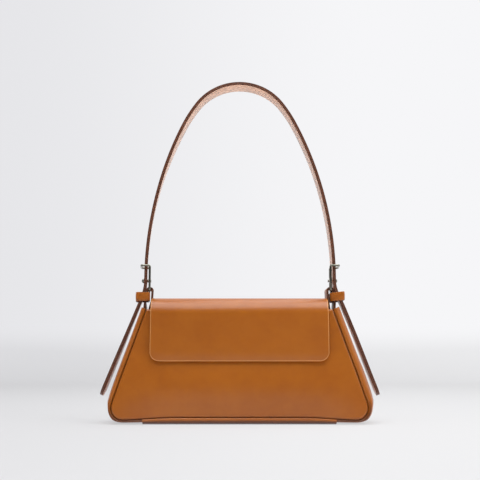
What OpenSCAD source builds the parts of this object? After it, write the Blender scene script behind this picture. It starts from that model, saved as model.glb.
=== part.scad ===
// Baguette bag: a trapezoid leather body with a long flap, and a shoulder strap that
// hangs from two folded tabs by stud buckles. Millimetres, +Z up, the front faces -Y,
// and the origin is the middle of the flat base on the surface that the bag stands on.

/* [Body] */
// Width of the front panel along its top edge
mouth_w = 180; // [160:1:200]
// Width of the front panel along the bottom seam, taken to the sharp corner
base_w = 251.6; // [236:0.2:262]
// Length of the panels up the slope, from the bottom seam to the mouth
panel_len = 102.4; // [92:0.2:112]
// How much shorter the back panel stands under the flap
back_drop = 2.5; // [2:0.1:4]
// Radius of the panels' lower corners
corner_r = 11.5; // [10:0.5:20]
// How far the bottom seam dips towards the lower corners
corner_dip = 1.6; // [0:0.1:2]
// Depth of the body across the mouth
mouth_depth = 44; // [40:0.5:48]
// Depth of the body across the bottom seams
base_depth = 62; // [56:0.5:68]
// Height of the bottom seam above the surface
seam_lift = 6.5; // [5.5:0.1:8]
// Thickness of the body leather
leather_t = 1.6; // [1.2:0.1:1.8]

/* [Gussets] */
// How far a gusset swells beyond the side seams
side_swell = 7.8; // [5:0.1:9]
// How far the gusset strip swells below the bottom seam
under_swell = 5.3; // [4:0.1:6]
// Thickness of the gusset leather
gusset_t = 1.5; // [1:0.1:1.8]
// How far up the slope the gusset's rim stands over the mouth
rim_rise = 0.4; // [0:0.1:0.8]
// Depth of the scoop in the rim between the tab's legs
rim_scoop = 3.5; // [3:0.1:5]

/* [Base] */
// Length of the separate base piece
base_len = 182; // [170:1:190]
// Thickness of the base leather
base_t = 1.4; // [1:0.1:1.6]
// Thickness of the board in the base
base_board_t = 3.2; // [2:0.1:3.3]

/* [Stiffeners and lining] */
// Thickness of the boards behind the front and back panels
board_t = 1.5; // [1:0.1:2]
// Thickness of the textile lining
lining_t = 0.7; // [0.5:0.1:0.8]
// Thickness of the leather facings round the mouth
facing_t = 1.2; // [0.8:0.1:1.5]
// Height of the facings
facing_h = 22; // [16:1:30]
// Width of the slip pocket
pocket_w = 110; // [80:1:130]
// Height of the slip pocket
pocket_h = 56; // [40:1:60]

/* [Flap] */
// Distance of the flap's sides from the upper corners of the front panel
flap_inset = 4.7; // [4.5:0.1:15]
// Height of the flap's top above the mouth
flap_rise = 11; // [10:0.1:16]
// How far the flap hangs down the front, from its top
flap_fall = 60.7; // [54:0.1:70]
// Radius of the front bend
front_bend_r = 17; // [15:0.5:17.5]
// Radius of the rear bend
rear_bend_r = 14; // [13:0.5:14.5]
// Radius of the flap's lower corners
flap_corner_r = 9; // [4:0.5:16]
// Thickness of the flap's outer leather
flap_skin_t = 1.1; // [0.8:0.1:1.2]
// Thickness of the board and the magnet inside the flap
flap_board_t = 1; // [0.8:0.1:1.2]
// Thickness of the flap's lining leather
flap_lining_t = 0.8; // [0.6:0.1:0.9]
// Length of the flap's sewn edge on the back panel
anchor_h = 16; // [12:1:24]

/* [Magnets] */
// Diameter of the two magnets
magnet_d = 20; // [14:1:24]
// Height of the magnets above the flap's front edge
magnet_rise = 15.2; // [14:0.1:26]

/* [Strap] */
// Drop of the strap, from its top to the mouth
strap_drop = 230; // [190:1:270]
// Width of the strap
strap_w = 22; // [18:0.5:22]
// Thickness of each of the strap's two layers
strap_layer_t = 1.4; // [1.1:0.1:1.4]
// How far the middle of each strap leg lies outside the mouth's corner
strap_out = 3; // [2.6:0.1:3.6]
// Radius of the crown of the arch
crown_r = 53.6; // [46:0.2:58]
// Turn of the crown on each side
crown_turn = 52.3; // [44:0.1:56]
// Radius of the shoulders of the arch
shoulder_r = 133.6; // [110:0.2:160]
// Turn of each shoulder
shoulder_turn = 10.5; // [8:0.1:12]
// Lean of the strap's tails outwards
tail_turn = 21.8; // [20:0.1:22]
// Radius of the bend from the leg into the tail
tail_bend_r = 45; // [40:1:48]
// Length of each tail below that bend
tail_len = 102; // [60:1:102]
// Distance between the punched holes
hole_pitch = 18; // [15:0.5:22]
// Diameter of the punched holes
hole_d = 3.6; // [3.4:0.1:4]

/* [Buckles] */
// Diameter of the buckle's rod
rod_d = 2.2; // [1.8:0.1:2.3]
// Height of the buckle's lower bar above the mouth
bar_rise = 18.9; // [18.8:0.1:19.7]
// Length of the buckle from its lower bar to its loop
buckle_len = 24.4; // [22:0.2:30]
// Distance from the lower bar to the stud's bar
stud_rise = 10.1; // [9.6:0.1:12]
// Distance of the buckle's upright plane from the strap's middle
buckle_gap = 3.8; // [3.7:0.1:4]
// Reach of the loop from the upright plane
loop_reach = 8.2; // [7.6:0.1:9.5]
// Diameter of the stud's shank
stud_d = 3; // [2.4:0.1:3]
// Diameter of the stud's head
stud_head_d = 4.6; // [4.2:0.1:5.4]

/* [Tabs and keepers] */
// Width of the tabs
tab_w = 20; // [16:0.5:20]
// Thickness of the tab leather
tab_t = 1.5; // [1.2:0.1:1.5]
// Length of the tab's legs below the rim's scoop
tab_grip = 11; // [8:0.5:13]
// Height of a keeper
keeper_h = 8.8; // [7:0.1:8.8]
// Thickness of a keeper
keeper_t = 1.5; // [1.2:0.1:1.5]

/* [Hidden] */
$fn = 48;

TAN = "#a25d25";
TAN_SIDE = "#a8683a";
TAN_PALE = "#cdb09c";
EDGE_BROWN = "#6e4a3a";
CLOTH = "#b79a7c";
BOARD = "#8d8275";
STEEL = "#9aa197";

// Clearances
hair = 0.1;             // between layers that are glued or sewn together
sewn_gap = 0.2;         // between a panel's lower edge and the base piece
play = 0.3;             // between pieces that move past each other

// Slope of the panels and lean of their sides
slope = asin((base_depth - mouth_depth) / 2 / panel_len);
lean = atan((base_w - mouth_w) / 2 / panel_len);

// Places that follow the mouth
mouth_z = seam_lift + panel_len * cos(slope);
flap_w = mouth_w - 2 * flap_inset;
flap_top = mouth_z + flap_rise;
flap_hem = flap_top - flap_fall;
magnet_z = flap_hem + magnet_rise;
strap_leg_x = mouth_w / 2 + strap_out;
strap_top = mouth_z + strap_drop;
bar_z = mouth_z + bar_rise;

// Depth of each layer under the outer face of a panel
board_in = leather_t + hair;
lining_in = board_in + board_t + hair;
pocket_in = lining_in + lining_t + hair;

function reversed(p) = [for (i = [len(p) - 1:-1:0]) p[i]];
function less_first(p) = [for (i = [1:len(p) - 1]) p[i]];
function mix(a, b, f) = a + (b - a) * f;
function clamped(f) = min(max(f, 0), 1);
function smooth(f) = let (c = clamped(f)) c * c * (3 - 2 * c);

// Height and half depth of the body at a length s up the slope
function height_at(s) = seam_lift + s * cos(slope);
function half_depth_at(s) = base_depth / 2 - s * sin(slope);
function slope_len(z) = (z - seam_lift) / cos(slope);
// Half width of a panel at a length s up the slope, set in by a margin
function half_width_at(s, inset = 0) = base_w / 2 - s * tan(lean) - inset / cos(lean);

// Points of an arc in a plane, from one angle to another
function arc(c, r, a0, a1, n) = [for (i = [0:n]) c + r * [cos(mix(a0, a1, i / n)), sin(mix(a0, a1, i / n))]];

// A ribbon of even thickness along a path: its two faces lie at offsets to the left of the path
function left_normal(a, b) = let (d = (b - a) / norm(b - a)) [-d[1], d[0]];
function path_normal(p, i) =
    let (
        last = len(p) - 1,
        before = i == 0 ? left_normal(p[0], p[1]) : left_normal(p[i - 1], p[i]),
        after = i == last ? before : left_normal(p[i], p[i + 1]),
        m = (before + after) / norm(before + after)
    ) m / (m * before);
function offset_path(p, o) = [for (i = [0:len(p) - 1]) p[i] + o * path_normal(p, i)];
function ribbon(p, o1, o2) = concat(offset_path(p, o1), reversed(offset_path(p, o2)));

// Lays a flat outline of width and height into the front or the back of the body
module along_y(from_y, to_y) {
    translate([0, to_y, 0])
        rotate([90, 0, 0])
            linear_extrude(to_y - from_y)
                children();
}

// Draws an outline of depth and height along the width of the bag
module along_x(from_x, to_x) {
    translate([from_x, 0, 0])
        rotate([90, 0, 90])
            linear_extrude(to_x - from_x)
                children();
}

// Lays an outline of width and slope length at a depth under the front panel's outer face
module in_front_wall(depth, t) {
    translate([0, -base_depth / 2, seam_lift])
        rotate([-slope, 0, 0])
            along_y(depth, depth + t)
                children();
}

module in_back_wall(depth, t) {
    mirror([0, 1, 0])
        in_front_wall(depth, t)
            children();
}

module on_left() {
    mirror([1, 0, 0])
        children();
}

// Outline of a wall layer, from s0 to s1 up the slope: a trapezoid with round lower corners,
// to which its lower edge dips from the ends of the base piece
module wall_outline(inset, s0, s1) {
    r = corner_r - inset;
    cs = s0 + r - corner_dip;
    cx = half_width_at(cs, inset) - r / cos(lean);
    right = concat(
        [[base_len / 2 + tuck_step, s0]], arc([cx, cs], r, -90, lean, corner_rows),
        [[half_width_at(s1, inset), s1]]
    );
    left = [for (p = reversed(right)) [-p[0], p[1]]];
    polygon(concat(right, left));
}

// Outline of a facing: a band with straight sides along the mouth
module band_outline(inset, s0, s1) {
    polygon([
        [-half_width_at(s0, inset), s0], [half_width_at(s0, inset), s0],
        [half_width_at(s1, inset), s1], [-half_width_at(s1, inset), s1]
    ]);
}

// Outer walls

module front_panel() {
    color(TAN)
        in_front_wall(0, leather_t)
            wall_outline(0, sewn_gap, panel_len);
}

back_len = panel_len - back_drop;

module back_panel() {
    color(TAN)
        in_back_wall(0, leather_t)
            wall_outline(0, sewn_gap, back_len);
}

// The gusset is a lofted strip. Its rows follow the side seam down from the rim, round the
// lower corner and under the body. Across a row, v runs from -1 at the front seam to 1 at
// the back seam, and a share is a distance from the middle as a share of the leather's half
// depth. It swells outwards, and near the rim the tab draws its middle in.
fold_flat = 0.47;       // share of the half depth that the tab holds flat
fold_end = 0.8;         // share at which the drawn-in fold has opened
fold_full_down = 16.4;  // length from the mouth down to which the fold is full
fold_gone_down = 58.4;  // length from the mouth below which it is gone
round_power = 2.6;      // how full the swelling is near its seams
even_share = 0.7;       // share within which the leather's and the lining's points line up
half_columns = [0, 0.25, fold_flat, 0.59, even_share, 0.8, 0.88, 0.94, 0.98, 1];
side_rows = 12;
corner_rows = 8;
tuck_swell = 3.4;       // swell of the end that is tucked under the base piece
tuck_in = 2.5;          // how much narrower the tucked end is on each side
tuck_len = 7;           // length of the tucked end
tuck_step = 1;          // length over which the strip steps up to the tucked end
wall_total = gusset_t + 3 * hair + lining_t;

// Outer face of the drawn-in middle: near upright, so that the tab's legs lie flat on it
grip_set_in = 1.45;     // distance of its top inside the strap's middle
grip_top_x = strap_leg_x - grip_set_in;
grip_rise = 1.5;        // height of that top above the mouth
grip_top_z = mouth_z + grip_rise;
grip_lean = 0.15;
function grip_x(z) = grip_top_x + grip_lean * (grip_top_z - z);

function swell_round(v) = pow(max(1 - pow(abs(v), round_power), 0), 1 / round_power);
function fold_share(share) = 1 - smooth((abs(share) - fold_flat) / (fold_end - fold_flat));
function fold_at(s) = smooth((s - panel_len + fold_gone_down) / (fold_gone_down - fold_full_down));
function grip_swell(s) =
    (grip_x(height_at(s)) - half_width_at(s)) / (cos(lean) + grip_lean * sin(lean) * cos(slope));
rim_edge_share = 0.2;   // share over which the rim rises from the seam
function rim_s(share) =
    panel_len + rim_rise * smooth((1 - abs(share)) / rim_edge_share) - rim_scoop * fold_share(share);

corner_cs = corner_r - corner_dip;
corner_cx = half_width_at(corner_cs) - corner_r / cos(lean);
side_foot_s = corner_cs + corner_r * sin(lean);
// Swell at the corner's lowest point, where the dip takes its share from it
function corner_swell(under) = under * (1 - corner_dip / under_swell);

// A row as [half width, slope length, outward direction, swell, half depth lost]
function side_row(share, f) =
    let (s = mix(rim_s(share), side_foot_s, f))
    [half_width_at(s), s, [cos(lean), sin(lean)], side_swell, 0];
function corner_row(a, f, under) =
    [corner_cx + corner_r * cos(a), corner_cs + corner_r * sin(a), [cos(a), sin(a)],
     mix(side_swell, corner_swell(under), smooth(f)), 0];
function under_row(x, swell, less) = [x, 0, [0, -1], swell, less];

function gusset_row(i, share, under) =
    i <= side_rows ? side_row(share, i / side_rows)
    : i <= side_rows + corner_rows ?
        let (f = (i - side_rows) / corner_rows) corner_row(mix(lean, -90, f), f, under)
    : let (k = i - side_rows - corner_rows)
        k == 1 ? under_row(base_len / 2 + tuck_step, under, 0)
        : k == 2 ? under_row(base_len / 2 - play, tuck_swell, tuck_in)
        : under_row(base_len / 2 - tuck_len, tuck_swell, tuck_in);

// Share at which a face that is set in by a margin has its point v
function share_at(v, half_depth, edge_in) =
    let (edge = (half_depth - edge_in) / (half_depth - hair), f = (abs(v) - even_share) / (1 - even_share))
    sign(v) * (f <= 0 ? abs(v) : mix(even_share, edge, f));

function gusset_point(i, v, edge_in, depth, under) =
    let (
        row = gusset_row(i, share_at(v, mouth_depth / 2, edge_in), under),
        s = row[1],
        half_depth = half_depth_at(s) - row[4],
        share = share_at(v, half_depth, edge_in),
        y = share * (half_depth - hair),
        held = i <= side_rows ? fold_share(share) * fold_at(s) : 0,
        swell_own = (row[3] - depth) * swell_round(y / (half_depth - edge_in)),
        swell = hair + mix(swell_own, grip_swell(s) - hair - depth, held)
    )
    [row[0] + row[2][0] * swell, y, height_at(s + row[2][1] * swell)];

// Skin of a lofted strip between two depths under the gusset's outer face
module gusset_skin(edge_in, depth, t, under) {
    rows = side_rows + corner_rows + 3;
    across = concat([for (c = reversed(half_columns)) -c], less_first(half_columns));
    columns = len(across) - 1;
    outer = [for (i = [0:rows]) for (v = across) gusset_point(i, v, edge_in, depth, under)];
    inner = [for (i = [0:rows]) for (v = across) gusset_point(i, v, edge_in + t, depth + t, under)];
    n = columns + 1;
    all_outer = (rows + 1) * n;
    quads = concat(
        [for (i = [0:rows - 1]) for (j = [0:columns - 1])
            [i * n + j, (i + 1) * n + j, (i + 1) * n + j + 1, i * n + j + 1]],
        [for (i = [0:rows - 1]) for (j = [0:columns - 1])
            [all_outer + i * n + j, all_outer + i * n + j + 1,
             all_outer + (i + 1) * n + j + 1, all_outer + (i + 1) * n + j]],
        [for (j = [0:columns - 1]) [j, j + 1, all_outer + j + 1, all_outer + j]],
        [for (j = [0:columns - 1])
            [rows * n + j + 1, rows * n + j, all_outer + rows * n + j, all_outer + rows * n + j + 1]],
        [for (i = [0:rows - 1]) [(i + 1) * n, i * n, all_outer + i * n, all_outer + (i + 1) * n]],
        [for (i = [0:rows - 1])
            [i * n + columns, (i + 1) * n + columns,
             all_outer + (i + 1) * n + columns, all_outer + i * n + columns]]
    );
    triangles = [for (q = quads) each [[q[0], q[1], q[2]], [q[0], q[2], q[3]]]];
    polyhedron(concat(outer, inner), triangles);
}

module gusset_right() {
    color(TAN_SIDE)
        gusset_skin(hair, 0, gusset_t, under_swell);
}

module gusset_left() {
    on_left() gusset_right();
}

// The base piece is flat where it stands and rolls up to both bottom seams
base_roll_w = 7;

function base_face(in) =
    let (y = base_depth / 2 - base_roll_w, rw = base_roll_w - in, rh = seam_lift - in)
    concat(
        [for (i = [0:6]) [-y - rw * cos(15 * i), seam_lift - rh * sin(15 * i)]],
        [for (i = [6:-1:0]) [y + rw * cos(15 * i), seam_lift - rh * sin(15 * i)]]
    );

module base_panel() {
    color(TAN)
        along_x(-base_len / 2, base_len / 2)
            polygon(concat(base_face(0), reversed(base_face(base_t))));
}

// Boards

board_inset = 1;        // margin of a board inside the seams

module wall_board(top_s, with_magnet) {
    difference() {
        wall_outline(board_inset, board_inset, top_s);
        if (with_magnet)
            translate([0, slope_len(magnet_z)])
                circle(d = magnet_d + 2 * hair);
    }
}

module front_board() {
    color(BOARD)
        in_front_wall(board_in, board_t)
            wall_board(panel_len - board_inset, true);
}

module back_board() {
    color(BOARD)
        in_back_wall(board_in, board_t)
            wall_board(back_len - board_inset, false);
}

module base_board() {
    half_y = base_depth / 2 - base_roll_w - hair;
    half_x = base_len / 2 - tuck_len - play;
    corner = 5;
    color(BOARD)
        translate([0, 0, base_t + hair])
            linear_extrude(base_board_t)
                union() {
                    square([2 * (half_x - corner), 2 * half_y], center = true);
                    square([2 * half_x, 2 * (half_y - corner)], center = true);
                    for (sx = [-1, 1])
                        for (sy = [-1, 1])
                            translate([sx * (half_x - corner), sy * (half_y - corner)])
                                circle(r = corner);
                }
}

// Facings and lining

facing_inset = 1;       // margin of the facings and the lining inside the seams

module facing_front() {
    color(TAN)
        in_front_wall(lining_in, facing_t)
            band_outline(facing_inset, panel_len - facing_h, panel_len - hair);
}

module facing_back() {
    color(TAN)
        in_back_wall(lining_in, facing_t)
            band_outline(facing_inset, back_len - facing_h, back_len - hair);
}

lining_foot = 1;        // slope length at which the wall linings end above the base

module lining_front() {
    color(CLOTH)
        in_front_wall(lining_in, lining_t)
            wall_outline(facing_inset, lining_foot, panel_len - facing_h - hair);
}

module lining_back() {
    color(CLOTH)
        in_back_wall(lining_in, lining_t)
            wall_outline(facing_inset, lining_foot, back_len - facing_h - hair);
}

// The gusset's lining lies inside its leather, between the facings and the wall linings
lining_side_in = lining_in + facing_t + play;
lining_depth = gusset_t + 2 * hair;

module lining_gusset_right() {
    color(CLOTH)
        gusset_skin(lining_side_in, lining_depth, lining_t, tuck_swell);
}

module lining_gusset_left() {
    on_left() lining_gusset_right();
}

lining_base_z = max(seam_lift - tuck_swell + lining_depth, base_t + base_board_t + 2 * hair);

module lining_base() {
    half_x = base_len / 2 - tuck_len - play;
    half_y = base_depth / 2 - lining_side_in;
    color(CLOTH)
        translate([-half_x, -half_y, lining_base_z])
            cube([2 * half_x, 2 * half_y, lining_t]);
}

// A flat pocket sewn to the back lining on three sides
pocket_foot = 14;       // slope length of the pocket's lower edge
pocket_corner = 8;

module slip_pocket() {
    color(CLOTH)
        in_back_wall(pocket_in, lining_t)
            polygon(concat(
                arc([pocket_w / 2 - pocket_corner, pocket_foot + pocket_corner], pocket_corner, -90, 0, 6),
                [[pocket_w / 2, pocket_foot + pocket_h], [-pocket_w / 2, pocket_foot + pocket_h]],
                arc([-pocket_w / 2 + pocket_corner, pocket_foot + pocket_corner], pocket_corner, 180, 270, 6)
            ));
}

module magnet_front() {
    color(STEEL)
        in_front_wall(board_in, board_t)
            translate([0, slope_len(magnet_z)])
                circle(d = magnet_d);
}

// Flap. Its path runs down the front, over the mouth and down to the hinge line, and its
// layers lie at depths under the outer face.
flap_t = flap_skin_t + flap_board_t + flap_lining_t;
flap_stand = 0.8;       // gap between the flap's front edge and the front panel
bend_stand = 2.5;       // gap between the front bend and the front panel
hinge_drop = 8.5;       // distance of the hinge line below the mouth
hinge_z = mouth_z - hinge_drop;
hinge_play = 0.3;

front_bend_z = flap_top - front_bend_r;
rear_bend_z = flap_top - rear_bend_r;
function wall_y(z) = half_depth_at(slope_len(z));
front_bend_y = wall_y(front_bend_z) + bend_stand + flap_t - front_bend_r;
hem_y = wall_y(flap_hem) + flap_stand + flap_t;
rear_face_y = wall_y(hinge_z) + play + flap_t;
rear_bend_y = rear_face_y - rear_bend_r;
drop_lean = atan((hem_y - front_bend_y - front_bend_r) / (front_bend_z - flap_hem));

flap_path = concat(
    [[-hem_y, flap_hem]],
    arc([-front_bend_y, front_bend_z], front_bend_r, 180 - drop_lean, 90, 12),
    arc([rear_bend_y, rear_bend_z], rear_bend_r, 90, 0, 10),
    [[rear_face_y, hinge_z + hinge_play]]
);

// A flap layer between two depths, drawn in at its sides and front edge by a margin
module flap_layer(top_in, bottom_in, margin, foot) {
    r = flap_corner_r - margin;
    half = flap_w / 2 - margin;
    low = flap_hem + margin;
    difference() {
        along_x(-half, half)
            polygon(ribbon(flap_path, -top_in, -bottom_in));
        for (sx = [-1, 1])
            translate([sx * (half - r), 0, low + r])
                along_y(-hem_y - 1, -mouth_depth / 2 + 1)
                    difference() {
                        translate([sx * (r + 2) / 2, -(r + margin + 2) / 2])
                            square([r + 2, r + margin + 2], center = true);
                        circle(r = r);
                    }
        if (margin > 0)
            translate([0, 0, low - margin - 1])
                along_y(-hem_y - 1, -mouth_depth / 2 + 1)
                    translate([-half + r, 0])
                        square([2 * (half - r), margin + 1]);
        if (foot > 0)
            translate([-flap_w, rear_bend_y, hinge_z - 1])
                cube([2 * flap_w, rear_bend_r + 1, foot + 1]);
    }
}

module flap_outer() {
    color(TAN)
        flap_layer(0, flap_skin_t, 0, 0);
}

module flap_lining() {
    color(TAN_PALE)
        flap_layer(flap_skin_t + flap_board_t, flap_t, 0, 0);
}

flap_margin = 4;        // margin of the board inside the flap's edges
board_lift = 10;        // height above the hinge at which the flap's board ends
magnet_slack = 0.02;    // gap on each side of the magnet between the flap's layers

// Places its children on the flap's front face at the height of the magnets
module at_flap_magnet() {
    translate([0, -front_bend_y - front_bend_r - (front_bend_z - magnet_z) * tan(drop_lean), magnet_z])
        rotate([-drop_lean, 0, 0])
            children();
}

module flap_board() {
    color(BOARD)
        difference() {
            flap_layer(flap_skin_t, flap_skin_t + flap_board_t, flap_margin, board_lift);
            at_flap_magnet()
                rotate([-90, 0, 0])
                    cylinder(h = flap_t + 2, d = magnet_d + 2 * hair);
        }
}

module magnet_flap() {
    color(STEEL)
        at_flap_magnet()
            translate([0, flap_skin_t + magnet_slack, 0])
                rotate([-90, 0, 0])
                    cylinder(h = flap_board_t - 2 * magnet_slack, d = magnet_d);
}

// The flap's sewn edge, flat on the outside of the back panel
module flap_anchor() {
    top_s = slope_len(hinge_z - hinge_play);
    color(TAN)
        in_back_wall(-hair / 2 - flap_skin_t - flap_lining_t, flap_skin_t + flap_lining_t)
            translate([-flap_w / 2, top_s - anchor_h])
                square([flap_w, anchor_h]);
}

// Shoulder strap. The path of its middle runs from the tip of one tail over the arch to
// the tip of the other.
crown_z = strap_top - strap_layer_t;
crown_c = [0, crown_z - crown_r];
crown_end = crown_c + crown_r * [sin(crown_turn), cos(crown_turn)];
shoulder_c = crown_end - shoulder_r * [sin(crown_turn), cos(crown_turn)];
arch_turn = crown_turn + shoulder_turn;
shoulder_end = shoulder_c + shoulder_r * [sin(arch_turn), cos(arch_turn)];
leg_r = (strap_leg_x - shoulder_end[0]) / (1 - sin(arch_turn));
leg_c = [strap_leg_x - leg_r, shoulder_end[1] - leg_r * cos(arch_turn)];
stud_z = bar_z + stud_rise;

// The arch keeps its top and is drawn in height so that its legs end above the studs
leg_foot_rise = 3.3;    // height of the legs' lower ends above the studs
arch_stretch = (crown_z - stud_z - leg_foot_rise) / (crown_z - leg_c[1]);
function drawn(p) = [p[0], crown_z - (crown_z - p[1]) * arch_stretch];
tail_c = [strap_leg_x + tail_bend_r, stud_z];
tail_start = tail_c - tail_bend_r * [cos(tail_turn), sin(tail_turn)];
tail_way = [sin(tail_turn), -cos(tail_turn)];

half_arch = concat(
    arc(crown_c, crown_r, 90, 90 - crown_turn, 14),
    less_first(arc(shoulder_c, shoulder_r, 90 - crown_turn, 90 - arch_turn, 4)),
    less_first(arc(leg_c, leg_r, 90 - arch_turn, 0, 9))
);
half_strap = concat(
    [for (p = half_arch) drawn(p)],
    arc(tail_c, tail_bend_r, 180, 180 + tail_turn, 5),
    [tail_start + tail_len * tail_way]
);
strap_path = concat([for (p = reversed(less_first(half_strap))) [-p[0], p[1]]], half_strap);

// Lies in the frame of the right tail: its start is the origin and -Z runs along it
module at_tail() {
    translate([tail_start[0], 0, tail_start[1]])
        rotate([0, -tail_turn, 0])
            children();
}

// Everything that is cut from the right half of the strap: the round tip and the holes
strap_reach = strap_layer_t + 1;
module strap_cuts() {
    r = strap_w / 2;
    bend_len = tail_bend_r * tail_turn * PI / 180;
    at_tail() {
        translate([0, 0, r - tail_len])
            along_x(-strap_reach, strap_reach)
                difference() {
                    translate([-r - 1, -r - 1])
                        square([2 * r + 2, r + 1]);
                    circle(r = r);
                }
        for (i = [1:3])
            translate([-strap_reach, 0, bend_len - i * hole_pitch])
                rotate([0, 90, 0])
                    cylinder(h = 2 * strap_reach, d = hole_d);
    }
    for (i = [0:1])
        translate([strap_leg_x - strap_reach - 1, 0, stud_z + i * hole_pitch])
            rotate([0, 90, 0])
                cylinder(h = 2 * strap_reach + 2, d = hole_d);
}

module strap_layer(o1, o2) {
    difference() {
        along_y(-strap_w / 2, strap_w / 2)
            polygon(ribbon(strap_path, o1, o2));
        strap_cuts();
        on_left() strap_cuts();
    }
}

module strap_outer() {
    color(TAN)
        strap_layer(strap_layer_t, 0);
}

module strap_lining() {
    color(TAN_PALE)
        strap_layer(0, -strap_layer_t);
}

// Buckle: one rod bent to a rectangle, whose upper end turns outwards as a loop round the
// strap, with a bar across it that carries the stud
buckle_x = strap_leg_x - buckle_gap;
loop_side_gap = 0.6;    // gap between the strap's edges and the buckle's sides
buckle_half_w = strap_w / 2 + loop_side_gap + rod_d / 2;
loop_z = bar_z + buckle_len;
loop_x = buckle_x + loop_reach;
boss_d = 6;
tenon_d = 1.6;
rivet_rim = 0.7;        // how far the closed end of the tenon spreads
rivet_h = 0.5;

module rod(from, to) {
    v = to - from;
    translate(from)
        rotate([0, acos(v[2] / norm(v)), atan2(v[1], v[0])])
            cylinder(h = norm(v), d = rod_d);
}

module buckle_frame_right() {
    corners = [
        [buckle_x, -buckle_half_w, bar_z], [buckle_x, -buckle_half_w, loop_z],
        [loop_x, -buckle_half_w, loop_z], [loop_x, buckle_half_w, loop_z],
        [buckle_x, buckle_half_w, loop_z], [buckle_x, buckle_half_w, bar_z]
    ];
    color(STEEL)
        difference() {
            union() {
                for (i = [0:5])
                    rod(corners[i], corners[(i + 1) % 6]);
                for (c = corners)
                    translate(c) sphere(d = rod_d);
                rod([buckle_x, -buckle_half_w, stud_z], [buckle_x, buckle_half_w, stud_z]);
                translate([buckle_x - rod_d / 2, 0, stud_z])
                    rotate([0, 90, 0])
                        cylinder(h = rod_d, d = boss_d);
            }
            translate([buckle_x - rod_d, 0, stud_z])
                rotate([0, 90, 0])
                    cylinder(h = 2 * rod_d, d = tenon_d);
        }
}

module buckle_frame_left() {
    on_left() buckle_frame_right();
}

// Stud: a tenon riveted through the boss, a shank through the strap and a round head
module buckle_stud_right() {
    shank_x = rod_d / 2;
    head_x = buckle_gap + strap_layer_t + play;
    head_r = stud_head_d / 2;
    color(STEEL)
        translate([buckle_x, 0, stud_z])
            rotate([0, 90, 0])
                rotate_extrude()
                    polygon(concat(
                        [[0, -shank_x - rivet_h], [tenon_d / 2 + rivet_rim, -shank_x - rivet_h],
                         [tenon_d / 2 + rivet_rim, -shank_x], [tenon_d / 2, -shank_x],
                         [tenon_d / 2, shank_x], [stud_d / 2, shank_x], [stud_d / 2, head_x]],
                        arc([0, head_x], head_r, 0, 90, 8)
                    ));
}

module buckle_stud_left() {
    on_left() buckle_stud_right();
}

// Tab: a strip folded over the lower bar, whose legs straddle the gusset's drawn-in middle
fold_gap = 0.55;        // slack between the bar and the fold round it
fold_shift = [-0.3, -0.4];
waist_shift = [0.5, 1.6];   // how much farther out the legs stand at the waist, inner and outer
fold_r = rod_d / 2 + fold_gap + tab_t / 2;
fold_x = buckle_x + fold_shift[0];
fold_z = bar_z + fold_shift[1];
grip_foot_z = height_at(panel_len + rim_rise - rim_scoop) - tab_grip;
waist_rise = 8.5;       // height of the legs' waist above the mouth
waist_z = mouth_z + waist_rise;
leg_play = 0.2;         // gap between the legs and the gusset that they straddle

outer_leg_in = tab_t / 2 + leg_play;
inner_leg_in = wall_total + tab_t / 2 + leg_play;
tab_path = concat(
    [[grip_x(grip_foot_z) + outer_leg_in, grip_foot_z], [grip_x(grip_top_z) + outer_leg_in, grip_top_z],
     [fold_x + fold_r + waist_shift[1], waist_z]],
    arc([fold_x, fold_z], fold_r, -15, 195, 14),
    [[fold_x - fold_r + waist_shift[0], waist_z], [grip_x(grip_top_z) - inner_leg_in, grip_top_z],
     [grip_x(grip_foot_z) - inner_leg_in, grip_foot_z]]
);

module tab_right() {
    color(TAN)
        along_y(-tab_w / 2, tab_w / 2)
            polygon(ribbon(tab_path, tab_t / 2, -tab_t / 2));
}

module tab_left() {
    on_left() tab_right();
}

// Keeper: a stitched band round the tab's outer leg and the strap's tail
keeper_drop = 0.5;      // gap between the lower bar and the keeper
keeper_set_out = 0.5;   // distance of its inner side outside the lower bar's inner side
keeper_slack = 1;       // gap between the tail and the keeper's outer side
keeper_top_z = bar_z - rod_d / 2 - keeper_drop;
keeper_in_x = buckle_x - rod_d / 2 + keeper_set_out;
keeper_out_x = tail_start[0] + (tail_start[1] - keeper_top_z + keeper_h) * tan(tail_turn)
    + strap_layer_t / cos(tail_turn) + keeper_slack + keeper_t;

module keeper_right() {
    w = strap_w / 2 + play + keeper_t;
    corner = 1.2;
    inner_corner = 0.5;
    color(TAN_SIDE)
        translate([0, 0, keeper_top_z - keeper_h])
            linear_extrude(keeper_h)
                difference() {
                    rounded_box([keeper_in_x, -w], [keeper_out_x, w], corner + keeper_t);
                    rounded_box([keeper_in_x + keeper_t, -w + keeper_t],
                                [keeper_out_x - keeper_t, w - keeper_t], inner_corner);
                }
}

module keeper_left() {
    on_left() keeper_right();
}

// A rectangle between two corners with round corners of its own
module rounded_box(low, high, r) {
    translate([low[0] + r, low[1]])
        square([high[0] - low[0] - 2 * r, high[1] - low[1]]);
    translate([low[0], low[1] + r])
        square([high[0] - low[0], high[1] - low[1] - 2 * r]);
    for (x = [low[0] + r, high[0] - r])
        for (y = [low[1] + r, high[1] - r])
            translate([x, y])
                circle(r = r);
}

front_panel();
back_panel();
gusset_left();
gusset_right();
base_panel();
front_board();
back_board();
base_board();
facing_front();
facing_back();
lining_front();
lining_back();
lining_gusset_left();
lining_gusset_right();
lining_base();
slip_pocket();
magnet_front();
flap_anchor();
flap_outer();
flap_board();
flap_lining();
magnet_flap();
strap_outer();
strap_lining();
buckle_frame_left();
buckle_frame_right();
buckle_stud_left();
buckle_stud_right();
tab_left();
tab_right();
keeper_left();
keeper_right();
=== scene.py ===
import math

import bpy
from bpy.props import FloatProperty, FloatVectorProperty, PointerProperty
from mathutils import Matrix, Vector, noise


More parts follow.
